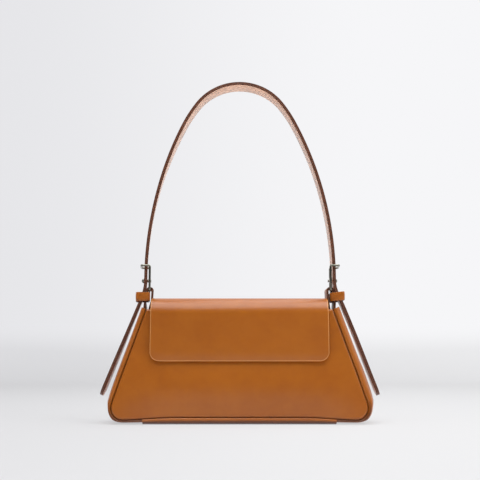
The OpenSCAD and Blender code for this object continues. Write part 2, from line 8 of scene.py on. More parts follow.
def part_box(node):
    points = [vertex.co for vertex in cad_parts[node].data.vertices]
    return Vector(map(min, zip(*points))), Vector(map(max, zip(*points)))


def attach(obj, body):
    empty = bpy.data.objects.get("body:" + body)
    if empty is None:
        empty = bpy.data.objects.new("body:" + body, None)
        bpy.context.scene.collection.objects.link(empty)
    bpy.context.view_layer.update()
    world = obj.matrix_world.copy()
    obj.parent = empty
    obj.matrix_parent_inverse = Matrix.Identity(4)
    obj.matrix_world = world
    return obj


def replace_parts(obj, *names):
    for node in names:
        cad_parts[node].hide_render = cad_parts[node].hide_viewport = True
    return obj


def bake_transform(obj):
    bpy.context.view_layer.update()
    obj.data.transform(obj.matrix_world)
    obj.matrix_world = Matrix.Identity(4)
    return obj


bl_info = {
    "name": "Baguette bag",
    "version": (1, 0, 0),
    "blender": (4, 5, 0),
    "location": "View3D > Sidebar > Baguette bag",
    "description": "Makes a small leather shoulder bag round its frame",
    "category": "Add Mesh",
}

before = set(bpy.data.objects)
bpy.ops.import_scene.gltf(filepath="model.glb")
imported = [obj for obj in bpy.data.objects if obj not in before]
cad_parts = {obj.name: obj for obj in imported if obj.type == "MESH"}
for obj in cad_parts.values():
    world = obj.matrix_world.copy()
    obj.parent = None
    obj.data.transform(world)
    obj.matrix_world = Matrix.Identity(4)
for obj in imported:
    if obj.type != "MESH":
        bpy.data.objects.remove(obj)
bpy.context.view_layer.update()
MM = 0.001
MIRRORED = Matrix.Diagonal((-1, 1, 1, 1))
# Half a turn about the upright axis, from the front of the bag to its back
TO_BACK = Matrix.Diagonal((-1, -1, 1, 1))


def mm(*values):
    """Millimetres as metres: one number, or a vector of three."""
    return values[0] * MM if len(values) == 1 else Vector(values) * MM


def linear(*code):
    """A screen colour from 0 to 255 as the linear one that shaders take."""
    share = [c / 255 for c in code]
    return [c / 12.92 if c <= 0.04045 else ((c + 0.055) / 1.055) ** 2.4 for c in share]


def mix(a, b, share):
    return a + (b - a) * share


def smooth(share):
    share = min(max(share, 0), 1)
    return share * share * (3 - 2 * share)


def steps(start, end, count):
    """Numbers from start to end in even steps, with both ends."""
    return [mix(start, end, i / count) for i in range(count + 1)]


# Sizes and colours that a user would change


def length(name, description, default):
    return FloatProperty(name=name, description=description, default=default, unit="LENGTH", precision=4)


def colour(name, description, default):
    return FloatVectorProperty(
        name=name, description=description, default=default, subtype="COLOR", min=0, max=1
    )


class BagSizes(bpy.types.PropertyGroup):
    """Sizes of the body, the flap and the strap"""

    mouth_width: length("Mouth width", "Width of the walls at the mouth", mm(180))
    base_width: length(
        "Base width", "Width of the walls at the bottom seam, to the sharp corner", mm(251.6)
    )
    panel_length: length("Panel length", "Length of the front wall up its slope", mm(102.4))
    back_drop: length("Back drop", "How much shorter the back wall is", mm(2.5))
    corner: length("Corner", "Radius of the walls' lower corners", mm(11.5))
    corner_dip: length("Corner dip", "How far the bottom seam dips towards the lower corners", mm(2.4))
    mouth_depth: length("Mouth depth", "Depth of the body across the mouth", mm(44))
    base_depth: length("Base depth", "Depth of the body across the bottom seams", mm(62))
    seam_lift: length("Seam lift", "Height of the bottom seam", mm(6.5))
    leather: length("Leather", "Thickness of the body leather", mm(1.5))
    seam_roll: length("Seam roll", "Radius of the turned leather at a seam", mm(2))
    belly: length("Belly", "How far the walls swell outwards", mm(3.2))
    left_swell: length("Left swell", "How far the left gusset swells beyond its seams", mm(6.2))
    right_swell: length("Right swell", "How far the right gusset swells beyond its seams", mm(9))
    corner_ease: length(
        "Corner ease", "How much less the gussets swell round the lower corners", mm(2.6)
    )
    under_swell: length("Under swell", "How far the gussets swell below the bottom seam", mm(5.3))
    strap_layer: length("Strap layer", "Thickness of one layer of the strap", mm(1.6))
    stitch: length("Stitch", "Length of one stitch", mm(2.6))
    stitch_step: length("Stitch step", "Distance from one stitch to the next", mm(3.4))
    thread: length("Thread", "Diameter of the thread", mm(0.55))


class BagColours(bpy.types.PropertyGroup):
    """Colours of the leathers, the lining and the metal"""

    tan: colour("Tan", "Leather of the body", linear(172, 96, 18))
    tan_deep: colour("Deep tan", "The darker clouds in the leather", linear(164, 88, 14))
    # The seam colour is partly the turned edges' own darker tone and partly painted shade in the seam
    # grooves and at the base's floor contact
    seam: colour("Seam", "The leather's darker turned edges along the seams", linear(84, 38, 8))
    edge: colour("Edge paint", "Painted edges of the strap and tabs", linear(88, 50, 32))
    # The under colour's paleness is partly painted reflection, the leather's sheen at grazing angles
    under: colour("Under side", "Pale leather under the strap and the flap", linear(230, 184, 156))
    cloth: colour("Lining", "Twill of the lining", linear(176, 148, 118))
    board: colour("Board", "Stiffener board", linear(128, 118, 104))
    metal: colour("Metal", "Buckles and studs", linear(140, 138, 126))
    # The paper's glow runs from the left colour to the right one: painted shade, darker to the left
    paper_left: colour("Paper, left", "Floor and backdrop on the left", linear(230, 230, 233))
    paper_right: colour("Paper, right", "Floor and backdrop on the right", linear(246, 246, 248))


# Shape of the body. Widths and heights follow the front wall, from the bottom seam up.


class Body:
    """The body's outline, as the frame has it, for any height up the slope."""

    def __init__(self, sizes):
        self.sizes = sizes
        self.slope = math.asin((sizes.base_depth - sizes.mouth_depth) / 2 / sizes.panel_length)
        self.lean = math.atan((sizes.base_width - sizes.mouth_width) / 2 / sizes.panel_length)
        self.corner_x = self.side_x(sizes.corner) - sizes.corner / math.cos(self.lean)
        self.corner_top = sizes.corner * (1 + math.sin(self.lean))

    def side_x(self, s):
        return self.sizes.base_width / 2 - s * math.tan(self.lean)

    def half_depth(self, s):
        return self.sizes.base_depth / 2 - s * math.sin(self.slope)

    def height(self, s):
        return self.sizes.seam_lift + s * math.cos(self.slope)

    def length_at(self, z):
        return (z - self.sizes.seam_lift) / math.cos(self.slope)

    def half_width(self, s, inset=0.0):
        """Half width of a wall at a length s up the slope, round its lower corner too."""
        radius = self.sizes.corner - inset
        if s < self.corner_top and s - self.sizes.corner < radius * math.sin(self.lean):
            rise = s - self.sizes.corner
            return self.corner_x + math.sqrt(max(radius**2 - rise**2, 0))
        return self.side_x(s) - inset / math.cos(self.lean)

    def edge_distance(self, x, s, top):
        """Distance of a point of a wall from the wall's outline."""
        out, up = abs(x) - self.corner_x, s - self.sizes.corner
        if out > 0 and up < out * math.tan(self.lean):
            side = self.sizes.corner - math.hypot(out, up)
        else:
            side = min((self.side_x(s) - abs(x)) * math.cos(self.lean), s)
        return max(min(side, top - s), 0)

    def wall_point(self, x, s, depth):
        """A point of the front wall, at a depth under its outer face."""
        y = -self.half_depth(s) + depth * math.cos(self.slope)
        return Vector((x, y, self.height(s) - depth * math.sin(self.slope)))


# Where across the bag the seam's dip starts, in what run it is full, and in what height it fades
DIP_FROM = mm(60)
DIP_RUN = mm(55)
DIP_FADE = mm(45)


def settle(piece, sizes):
    """Lets the bottom seam dip towards the lower corners, with all that hangs on it."""
    lift = sizes.seam_lift
    for point in piece.data.vertices:
        x, z = abs(point.co.x), point.co.z
        fall = z / lift if z < lift else 1 - smooth((z - lift) / DIP_FADE)
        point.co.z -= sizes.corner_dip * smooth((x - DIP_FROM) / DIP_RUN) * fall


def roll_depth(distance, radius):
    """How deep a face with a rolled edge lies at a distance from that edge."""
    if distance >= radius:
        return 0
    return radius - math.sqrt(radius**2 - (radius - distance) ** 2)


# Modelling helpers


def deselect():
    if bpy.context.object and bpy.context.object.mode != "OBJECT":
        bpy.ops.object.mode_set(mode="OBJECT")
    bpy.ops.object.select_all(action="DESELECT")


def only(piece):
    """Selects one piece and makes it the active one."""
    deselect()
    piece.select_set(True)
    bpy.context.view_layer.objects.active = piece


def named(name):
    piece = bpy.context.object
    piece.name = name
    piece.data.name = name
    return piece


def edit():
    bpy.ops.object.mode_set(mode="EDIT")


def leave_edit():
    bpy.ops.object.mode_set(mode="OBJECT")


def select_mesh():
    bpy.ops.mesh.select_all(action="SELECT")


def face_outwards():
    """Turns all faces of the mesh that is being edited outwards, and leaves edit mode."""
    select_mesh()
    bpy.ops.mesh.normals_make_consistent(inside=False)
    leave_edit()


def pick(piece, mode, chosen):
    """Selects the points or faces of a piece for which chosen is true, in edit mode."""
    only(piece)
    edit()
    bpy.ops.mesh.select_mode(type=mode)
    bpy.ops.mesh.select_all(action="DESELECT")
    leave_edit()
    elements = {"VERT": piece.data.vertices, "FACE": piece.data.polygons}[mode]
    for element in elements:
        element.select = chosen(element)
    edit()


def apply(piece, kind, **settings):
    """Adds a modifier and applies it."""
    only(piece)
    modifier = piece.modifiers.new(kind.title(), kind)
    for key, value in settings.items():
        setattr(modifier, key, value)
    bpy.ops.object.modifier_apply(modifier=modifier.name)
    return piece


def thicken(piece, thickness, offset=-1.0, rim=0):
    """Gives a sheet its thickness: -1 under its face, 1 over it, 0 half each way."""
    for _ in range(rim + 1):
        piece.data.materials.append(None)
    return apply(
        piece, "SOLIDIFY", thickness=thickness, offset=offset, use_even_offset=True,
        use_quality_normals=True, material_offset_rim=rim,
    )


def round_edges(piece, width, segments=2, angle=50):
    return apply(
        piece, "BEVEL", width=width, segments=segments, limit_method="ANGLE",
        angle_limit=math.radians(angle), miter_outer="MITER_ARC",
    )


def shade(piece, angle=40):
    only(piece)
    bpy.ops.object.shade_smooth_by_angle(angle=math.radians(angle))
    return piece


def grid(name, across, along, place):
    """A grid sheet with a point at each pair of values, put there by place(u, v)."""
    deselect()
    columns, rows = len(across) - 1, len(along) - 1
    bpy.ops.mesh.primitive_grid_add(x_subdivisions=columns, y_subdivisions=rows, size=2)
    piece = named(name)
    for point in piece.data.vertices:
        column = round((point.co.x + 1) / 2 * columns)
        row = round((point.co.y + 1) / 2 * rows)
        point.co = place(across[column], along[row])
    return piece


# How far from a seam the leather is darker: the turned edge's own darker tone with painted shade in the
# seam's groove
SEAM_AND_SHADE_REACH = mm(1.7)


def mark_seam_and_shade(piece, distances):
    """Keeps how near each point lies to a seam, from 0 to 1, for the leather's darker turned edges and
    painted shade in the seam.
    """
    near = piece.data.attributes.new("seam", "FLOAT", "POINT")
    near.data.foreach_set("value", [1 - smooth(distance / SEAM_AND_SHADE_REACH) for distance in distances])


def start_strip(name, a, b):
    """One edge from a to b, ready to be extruded and spun into a strip."""
    deselect()
    bpy.ops.mesh.primitive_plane_add(size=1)
    piece = named(name)
    pick(piece, "VERT", lambda point: point.co.y > 0)
    bpy.ops.mesh.delete(type="VERT")
    leave_edit()
    first, second = sorted(piece.data.vertices, key=lambda point: point.co.x)
    first.co, second.co = a, b
    edit()
    select_mesh()
    return piece


def extrude(step):
    bpy.ops.mesh.extrude_region_move(TRANSFORM_OT_translate={"value": step})


def extrude_run(way, count):
    """Extrudes along a way in as many even steps as count says."""
    for _ in range(count):
        extrude([part / count for part in way])


def spin(centre, axis, degrees, count):
    bpy.ops.mesh.spin(steps=count, angle=-math.radians(degrees), center=centre, axis=axis)


def join(name, pieces):
    only(pieces[0])
    for piece in pieces:
        piece.select_set(True)
    bpy.ops.object.join()
    return named(name)


def mirror(piece):
    """Puts a piece on the other side of the bag."""
    piece.data.transform(MIRRORED)
    piece.data.flip_normals()
    return piece


def mirrored_copy(piece, name):
    other = piece.copy()
    other.data = piece.data.copy()
    bpy.context.scene.collection.objects.link(other)
    other.name = name
    other.data.name = name
    return mirror(other)


def dress(piece, body, slot_name, *finishes):
    """Gives a piece its finishes by name and the body that it rides on; its slot name is not used."""
    for index, name in enumerate(finishes):
        if index == len(piece.data.materials):
            piece.data.materials.append(None)
        piece.data.materials[index] = finish_of(name)
    if body:
        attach(piece, body)
    return piece


# Materials. A wire is the value of a socket, and sums of wires add nodes.


class Wire:
    """A socket of numbers whose sums and products add Math nodes."""

    def __init__(self, finish, socket):
        self.finish = finish
        self.socket = socket

    def made(self, operation, *values):
        return self.finish.made(operation, *values)

    def __add__(self, other):
        return self.made("ADD", self, other)

    def __sub__(self, other):
        return self.made("SUBTRACT", self, other)

    def __rsub__(self, other):
        return self.made("SUBTRACT", other, self)

    def __mul__(self, other):
        return self.made("MULTIPLY", self, other)

    def __pow__(self, other):
        return self.made("POWER", self, other)

    __radd__ = __add__
    __rmul__ = __mul__

    def sine(self):
        return self.made("SINE", self)

    def between(self, low, high):
        """0 below low and 1 above high, with a smooth step."""
        inputs = {"Value": self, "From Min": low, "From Max": high}
        return self.finish.node("ShaderNodeMapRange", {"interpolation_type": "SMOOTHSTEP"}, inputs)


class Finish:
    """A material under construction."""

    def __init__(self, name, world=None):
        self.material = world or bpy.data.materials.new(name)
        self.material.use_nodes = True
        self.end = "ShaderNodeOutputWorld" if world else "ShaderNodeOutputMaterial"
        self.tree = self.material.node_tree
        self.tree.nodes.clear()

    def node(self, kind, settings=None, inputs=None, output=None):
        made = self.tree.nodes.new(kind)
        for key, value in (settings or {}).items():
            setattr(made, key, value)
        for key, value in (inputs or {}).items():
            socket = self.socket(made.inputs, key)
            if isinstance(value, Wire):
                self.tree.links.new(value.socket, socket)
            else:
                socket.default_value = value
        return Wire(self, self.socket(made.outputs, output or 0))

    @staticmethod
    def socket(sockets, key):
        shown = [s for s in sockets if s.enabled]
        if isinstance(key, int):
            return shown[key]
        return next(s for s in shown if key in (s.name, s.identifier))

    def made(self, operation, *values):
        return self.node("ShaderNodeMath", {"operation": operation}, dict(enumerate(values)))

    def place(self, space="Object"):
        return self.node("ShaderNodeTexCoord", output=space)

    def axes(self, space="Object"):
        """The x, y and z of a place, as wires."""
        split = self.node("ShaderNodeSeparateXYZ", None, {"Vector": self.place(space)}).socket.node
        return [Wire(self, split.outputs[axis]) for axis in "XYZ"]

    def rays(self):
        """Wires that are 1 for camera rays, glossy rays and transmission rays."""
        path = self.node("ShaderNodeLightPath").socket.node
        kinds = ("Is Camera Ray", "Is Glossy Ray", "Is Transmission Ray")
        return [Wire(self, path.outputs[kind]) for kind in kinds]

    def noise(self, scale, detail, roughness):
        inputs = {"Vector": self.place(), "Scale": scale, "Detail": detail, "Roughness": roughness}
        return self.node("ShaderNodeTexNoise", None, inputs)

    def cells(self, scale):
        inputs = {"Vector": self.place(), "Scale": scale}
        return self.node("ShaderNodeTexVoronoi", {"feature": "DISTANCE_TO_EDGE"}, inputs)

    def blend(self, share, first, second):
        first, second = (c if isinstance(c, Wire) else (*c, 1) for c in (first, second))
        inputs = {"Factor": share, "A": first, "B": second}
        return self.node("ShaderNodeMix", {"data_type": "RGBA"}, inputs)

    def bump(self, height, strength, distance, normal=None):
        inputs = {"Height": height, "Strength": strength, "Distance": distance}
        if normal:
            inputs["Normal"] = normal
        return self.node("ShaderNodeBump", None, inputs)

    def surface(self, **inputs):
        """Ends the material in one shader. A socket's spaces are written as _."""
        words = {key.replace("_", " "): value for key, value in inputs.items()}
        self.end_in(self.node("ShaderNodeBsdfPrincipled", None, words))
        return self.material

    def end_in(self, shader):
        end = self.tree.nodes.new(self.end)
        self.tree.links.new(shader.socket, end.inputs["Surface"])


FINISHES = {}
# Painted highlight: the lighter colour painted in a thin line along the flap's cut edge
EDGE_HIGHLIGHT = [0.72, 0.36, 0.13]
# Radius of the lower corners of the flap's leather
FLAP_CORNER = mm(9)


def finish_of(name):
    """A finish by its name, made the first time that it is asked for."""
    if name not in FINISHES:
        FINISHES[name] = FINISH_MAKERS[name](name, bpy.context.scene.bag_colours)
    return FINISHES[name]


def tint(shade_of, share):
    return [c * share for c in shade_of]


def tan_leather(name, colours, rough=0.36, coat=0.45, tone=1.0, edge_highlight=None):
    """Smooth calf: faint clouds, fine pores, a soft gloss, darker turned edges with painted shade in the
    seams, and a painted highlight along an edge where one is given.
    """
    finish = Finish(name)
    clouds = finish.noise(22, 4, 0.6)
    streaks = finish.noise(150, 3, 0.55)
    share = clouds.between(0.38, 0.68) * 0.7 + streaks.between(0.35, 0.7) * 0.3
    base = finish.blend(share, tint(colours.tan, tone), tint(colours.tan_deep, tone))
    # Darker near the seams: the turned edges' own tone and painted shade in the grooves between the
    # pieces
    turned = finish.node("ShaderNodeAttribute", {"attribute_name": "seam"}, None, "Fac")
    base = finish.blend(turned * 0.85, base, colours.seam)
    # A painted highlight along an edge, where a mask for it is given
    if edge_highlight:
        base = finish.blend(edge_highlight(finish) * 0.75, base, EDGE_HIGHLIGHT)
    pores = finish.cells(1500).between(0.0, 0.12)
    grain = finish.noise(900, 3, 0.6)
    fine = finish.bump(pores * 0.6 + grain * 0.6, 0.1, mm(0.05))
    return finish.surface(
        Base_Color=base, Roughness=rough + (streaks - 0.5) * 0.12 + (grain - 0.5) * 0.08,
        Normal=finish.bump(finish.noise(45, 2, 0.5), 0.18, mm(0.5), fine),
        Coat_Weight=coat, Coat_Roughness=0.26, Specular_IOR_Level=0.35,
    )


def flap_leather(name, colours):
    """The flap's face: the same calf, with a painted highlight in a thin lighter line along its cut
    edge.
    """
    low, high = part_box("flap_outer")
    corner, line = FLAP_CORNER, mm(0.9)

    def edge_highlight(finish):
        x, y, z = finish.axes()
        out = finish.made("MAXIMUM", finish.made("ABSOLUTE", x) - (high.x - corner), 0)
        down = finish.made("MAXIMUM", (low.z + corner) - z, 0) * finish.made("LESS_THAN", y, 0)
        reach = (out * out + down * down) ** 0.5
        return reach.between(corner - line * 1.3, corner - line * 0.4)

    return tan_leather(name, colours, edge_highlight=edge_highlight)


def strap_leather(name, colours):
    return tan_leather(name, colours, rough=0.4, coat=0.12, tone=0.92)


def edge_paint(name, colours):
    """Dark paint on the cut edges, in a slightly wavy film."""
    finish = Finish(name)
    film = finish.noise(420, 3, 0.6)
    return finish.surface(
        Base_Color=finish.blend(film.between(0.3, 0.75), colours.edge, tint(colours.edge, 1.5)),
        Roughness=0.42 + (film - 0.5) * 0.2, Normal=finish.bump(film, 0.3, mm(0.08)),
    )


def burnished_edge(name, colours):
    """The flap's cut edge, painted lighter than its face: a painted highlight on its rounded edge."""
    finish = Finish(name)
    film = finish.noise(420, 3, 0.6)
    return finish.surface(
        Base_Color=finish.blend(film, tint(colours.tan, 1.5), tint(colours.tan, 1.2)),
        Roughness=0.3 + (film - 0.5) * 0.1, Normal=finish.bump(film, 0.2, mm(0.05)),
    )


def under_leather(name, colours):
    """Pale smooth leather of the under layers, with a dry soft grain; its paleness is partly a painted
    reflection of the pale floor at grazing angles.
    """
    finish = Finish(name)
    clouds = finish.noise(60, 4, 0.6)
    fibre = finish.noise(1200, 3, 0.65)
    return finish.surface(
        Base_Color=finish.blend(clouds.between(0.35, 0.7), colours.under, tint(colours.under, 0.86)),
        Roughness=0.36 + (fibre - 0.5) * 0.14, Normal=finish.bump(fibre, 0.08, mm(0.05)),
        Coat_Weight=0.4, Coat_Roughness=0.3,
    )


def twill(name, colours):
    """Fine twill: slanted ribs with a thread's rise and fall along each."""
    finish = Finish(name)
    across, depth, up = finish.axes()
    ribs = ((across + depth + up) * (2 * math.pi / mm(0.7))).sine()
    threads = ((across - up) * (2 * math.pi / mm(0.5))).sine()
    weave = ribs * 0.35 + threads * 0.15 + 0.5
    share = weave * 0.6 + finish.noise(70, 3, 0.6).between(0.3, 0.7) * 0.4
    return finish.surface(
        Base_Color=finish.blend(share, tint(colours.cloth, 0.8), colours.cloth),
        Roughness=0.85, Normal=finish.bump(weave, 0.5, mm(0.12)), Sheen_Weight=0.25,
    )


def thread(name, colours):
    """Waxed thread in the leather's tone, with its twist."""
    finish = Finish(name)
    twist = finish.noise(2500, 2, 0.5)
    base = finish.blend(twist, tint(colours.tan, 0.75), tint(colours.tan, 1.15))
    return finish.surface(Base_Color=base, Roughness=0.55, Normal=finish.bump(twist, 0.4, mm(0.08)))


def fibre_board(name, colours):
    finish = Finish(name)
    fibres = finish.noise(380, 5, 0.7)
    base = finish.blend(fibres, tint(colours.board, 0.8), tint(colours.board, 1.15))
    return finish.surface(Base_Color=base, Roughness=0.9, Normal=finish.bump(fibres, 0.4, mm(0.1)))


def polished_metal(name, colours):
    """Plated metal with faint wear: small changes of gloss and fine scratches."""
    finish = Finish(name)
    wear = finish.noise(260, 4, 0.65)
    scratches = finish.noise(1800, 2, 0.5)
    return finish.surface(
        Base_Color=finish.blend(wear.between(0.35, 0.75), colours.metal, tint(colours.metal, 0.82)),
        Metallic=1.0, Roughness=0.14 + wear.between(0.45, 0.8) * 0.14,
        Normal=finish.bump(scratches, 0.05, mm(0.03)),
    )


def magnet_steel(name, colours):
    finish = Finish(name)
    wear = finish.noise(500, 4, 0.65)
    base = finish.blend(wear, tint(colours.metal, 0.7), tint(colours.metal, 0.95))
    return finish.surface(Base_Color=base, Metallic=1.0, Roughness=0.3 + wear * 0.15)


FINISH_MAKERS = {
    "tan_leather": tan_leather,
    "flap_leather": flap_leather,
    "strap_leather": strap_leather,
    "edge_paint": edge_paint,
    "burnished_edge": burnished_edge,
    "under_leather": under_leather,
    "lining_twill": twill,
    "waxed_thread": thread,
    "fibre_board": fibre_board,
    "polished_metal": polished_metal,
    "magnet_steel": magnet_steel,
}


# Stitches


def stitches(name, points, normals, sizes):
    """A row of stitches along a line of points, each sunk a little into the leather."""
    deselect()
    bpy.ops.mesh.primitive_cylinder_add(vertices=6, radius=sizes.thread / 2, depth=sizes.stitch * 0.7)
    model = named(name + "_model")
    pick(model, "FACE", lambda polygon: abs(polygon.normal.z) > 0.9)
    bpy.ops.mesh.inset(thickness=sizes.thread * 0.2, depth=sizes.thread * 0.35, use_individual=True)
    leave_edit()
    shape = [point.co.copy() for point in model.data.vertices]
    faces = [tuple(polygon.vertices) for polygon in model.data.polygons]
    corners, loops = [], []
    travelled = sizes.stitch_step / 2
    for start, end, normal in zip(points, points[1:], normals):
        run = (end - start).length
        way = (end - start).normalized()
        side = way.cross(normal).normalized()
        while travelled < run:
            middle = start + way * travelled - normal * sizes.thread * 0.12
            base = len(corners)
            for point in shape:
                dip = (point.z / (sizes.stitch * 0.5)) ** 2 * sizes.thread * 0.45
                corners.append(middle + side * point.x + normal * (point.y - dip) + way * point.z)
            loops.extend(tuple(base + corner for corner in face) for face in faces)
            travelled += sizes.stitch_step
        travelled -= run
    bpy.data.objects.remove(model)
    mesh = bpy.data.meshes.new(name)
    mesh.from_pydata(corners, [], loops)
    mesh.update()
    piece = bpy.data.objects.new(name, mesh)
    bpy.context.scene.collection.objects.link(piece)
    return shade(piece, 60)


# Body pieces


def spread(count, ends):
    """Shares from -1 to 1, even in the middle, with closer ones near both ends."""
    inner = [1 - e for e in ends]
    near = inner[1:] + [1.0]
    return [-share for share in reversed(near)] + steps(-inner[0], inner[0], count) + near


# How far up the slope the walls' belly reaches
BELLY_REACH = mm(60)


def wall(name, sizes, top, body, at_back):
    """A leather wall: a rounded trapezoid with a slight belly and edges rolled into the seams."""
    roll = sizes.seam_roll
    half = sizes.base_width / 2
    across = spread(56, [r * roll / half for r in (2.6, 1.9, 1.4, 1.0, 0.66, 0.4, 0.2, 0.08)])
    low = [roll * share for share in (0, 0.06, 0.16, 0.32, 0.52, 0.76, 1.0, 1.4, 2.0)]
    corner = steps(low[-1], body.corner_top, 8)[1:]
    high = [top - roll * share for share in (2.0, 1.3, 0.9, 0.6, 0.35, 0.15, 0.04, 0)]
    rows = low + corner + steps(corner[-1], high[0], 22)[1:-1] + high
    distances = []

    def place(u, s):
        x = u * body.half_width(max(s, 0))
        distance = body.edge_distance(x, s, top)
        # The mouth is no seam, so its edge is left out of the darker seams and their painted shade
        distances.append(body.edge_distance(x, s, 2 * top))
        lower_half = math.sin(math.pi * min(max(s / BELLY_REACH, 0), 1)) ** 1.2
        swell = sizes.belly * (1 - u**4) * lower_half
        return body.wall_point(x, s, roll_depth(distance, roll) - swell)

    piece = grid(name, across, rows, place)
    mark_seam_and_shade(piece, distances)
    if at_back:
        piece.data.transform(TO_BACK)
    settle(piece, sizes)
    thicken(piece, sizes.leather)
    return shade(piece)


class BAG_OT_walls(bpy.types.Operator):
    """Front and back walls of body leather"""

    bl_idname = "bag.walls"
    bl_label = "Walls"

    def execute(self, context):
        sizes = context.scene.bag_sizes
        body = Body(sizes)
        for side, lost in (("front", 0), ("back", sizes.back_drop)):
            piece = wall(side + "_wall", sizes, sizes.panel_length - lost, body, side == "back")
            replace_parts(dress(piece, "body", "body_leather", "tan_leather"), side + "_panel")
        return {"FINISHED"}


# The gusset strip, as the frame lofts it
FOLD_FLAT = 0.47
FOLD_END = 0.8
FOLD_FULL_DOWN = mm(16.4)
FOLD_GONE_DOWN = mm(58.4)
ROUND_POWER = 2.5
RIM_RISE = mm(0.4)
RIM_SCOOP = mm(3.5)
GRIP_IN = mm(1.45)
GRIP_RISE = mm(1.5)
GRIP_LEAN = 0.15
STRAP_OUT = mm(3)
TUCK_START = mm(1)
TUCK_SWELL = mm(3.4)
TUCK_IN = mm(2.5)
TUCK_LENGTH = mm(7)


def fold_share(share):
    return 1 - smooth((abs(share) - FOLD_FLAT) / (FOLD_END - FOLD_FLAT))


class GussetForm:
    """Points of a gusset's skin, for rows down the strip and shares across it."""

    def __init__(self, body, swell, edge_in, depth, under=None):
        self.body = body
        self.swell = swell
        self.edge_in = edge_in
        self.depth = depth
        sizes = body.sizes
        self.under = under or sizes.under_swell
        self.base_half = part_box("base_panel")[1].x
        self.under_start = body.corner_x
        mouth_z = body.height(sizes.panel_length)
        self.grip_top = Vector((sizes.mouth_width / 2 + STRAP_OUT - GRIP_IN, 0, mouth_z + GRIP_RISE))

    def rim(self, share):
        rise = RIM_RISE * smooth((1 - abs(share)) / 0.2)
        return self.body.sizes.panel_length + rise - RIM_SCOOP * fold_share(share)

    def row(self, t, share):
        """Row t: 0 to 1 down the side, 1 to 2 round the corner, 2 to 3 under the body, 3 to 4 tucked."""
        body, sizes = self.body, self.body.sizes
        swell = self.swell - sizes.corner_ease * smooth((t - 0.9) / 0.35)
        if t <= 1:
            s = mix(self.rim(share), body.corner_top, t)
            return body.side_x(s), s, (math.cos(body.lean), math.sin(body.lean)), swell, 0
        if t <= 2:
            angle = mix(body.lean, -math.pi / 2, t - 1)
            way = (math.cos(angle), math.sin(angle))
            x = body.corner_x + sizes.corner * way[0]
            s = sizes.corner + sizes.corner * way[1]
            return x, s, way, mix(swell, self.under, smooth(t - 1)), 0
        if t <= 3:
            x = mix(self.under_start, self.base_half + TUCK_START, t - 2)
            return x, 0, (0, -1), self.under, 0
        sunk = smooth((t - 3) / 0.3)
        x = mix(self.base_half + TUCK_START, self.base_half - TUCK_LENGTH, t - 3)
        return x, 0, (0, -1), mix(self.under, TUCK_SWELL, sunk), TUCK_IN * sunk

    def held_swell(self, s):
        body = self.body
        reach = self.grip_top.x + GRIP_LEAN * (self.grip_top.z - body.height(s)) - body.side_x(s)
        return reach / (math.cos(body.lean) + GRIP_LEAN * math.sin(body.lean) * math.cos(body.slope))

    def point(self, t, v):
        """v runs from -1 to 1 between the seams, and past them into the rolls."""
        body, roll = self.body, self.body.sizes.seam_roll
        inner = max(min(v, 1), -1)
        x, s, way, full, lost = self.row(t, inner)
        half = body.half_depth(s) - self.edge_in - lost
        y = half * inner
        share = y / (body.half_depth(s) - mm(0.1) - lost)
        foot = mm(0.15) + roll
        own = foot + (full - self.depth - foot) * (1 - abs(inner) ** ROUND_POWER) ** (1 / ROUND_POWER)
        turn = abs(v) - abs(inner)
        if turn > 0:
            angle = turn * math.pi / 2
            own = foot - roll * math.sin(angle)
            y = math.copysign(half - roll * (1 - math.cos(angle)), v)
        gone = (s - body.sizes.panel_length + FOLD_GONE_DOWN) / (FOLD_GONE_DOWN - FOLD_FULL_DOWN)
        held = fold_share(share) * smooth(gone) if t <= 1 else 0
        swell = mix(own, self.held_swell(s) - self.depth, held)
        return Vector((x + way[0] * swell, y, body.height(s + way[1] * swell)))


def gusset(name, form, thickness, rows, rolled):
    """One layer of a gusset on its own side, with or without edges that roll into the seams."""
    across = spread(36, (0.06, 0.035, 0.018, 0.008, 0.002))
    if rolled:
        turns = [0.25, 0.5, 0.75, 1.0, 1.6]
        across = [-1 - t for t in reversed(turns)] + across + [1 + t for t in turns]
    piece = grid(name, across, rows, lambda v, t: form.point(t, v))
    half = form.body.sizes.base_depth / 2
    # Darker towards the seams: the turned edges and painted shade in their grooves
    mark_seam_and_shade(piece, [max(half - abs(point.co.y) - mm(0.6), 0) for point in piece.data.vertices])
    piece.data.flip_normals()
    settle(piece, form.body.sizes)
    thicken(piece, thickness)
    shade(piece, 50)
    return mirror(piece) if "left" in name else piece


class BAG_OT_gussets(bpy.types.Operator):
    """Side gussets, swelling beyond the seams and tucked under the base piece"""

    bl_idname = "bag.gussets"
    bl_label = "Gussets"

    def execute(self, context):
        sizes = context.scene.bag_sizes
        body = Body(sizes)
        rows = steps(0, 1, 44) + steps(1, 2, 16)[1:] + steps(2, 3, 10)[1:] + [3.1, 3.2, 3.3, 3.6, 4]
        for name, swell in (("gusset_left", sizes.left_swell), ("gusset_right", sizes.right_swell)):
            form = GussetForm(body, swell, mm(0.3), 0)
            piece = gusset(name + "_leather", form, sizes.leather, rows, True)
            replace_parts(dress(piece, "body", "gusset_leather", "tan_leather"), name)
        return {"FINISHED"}


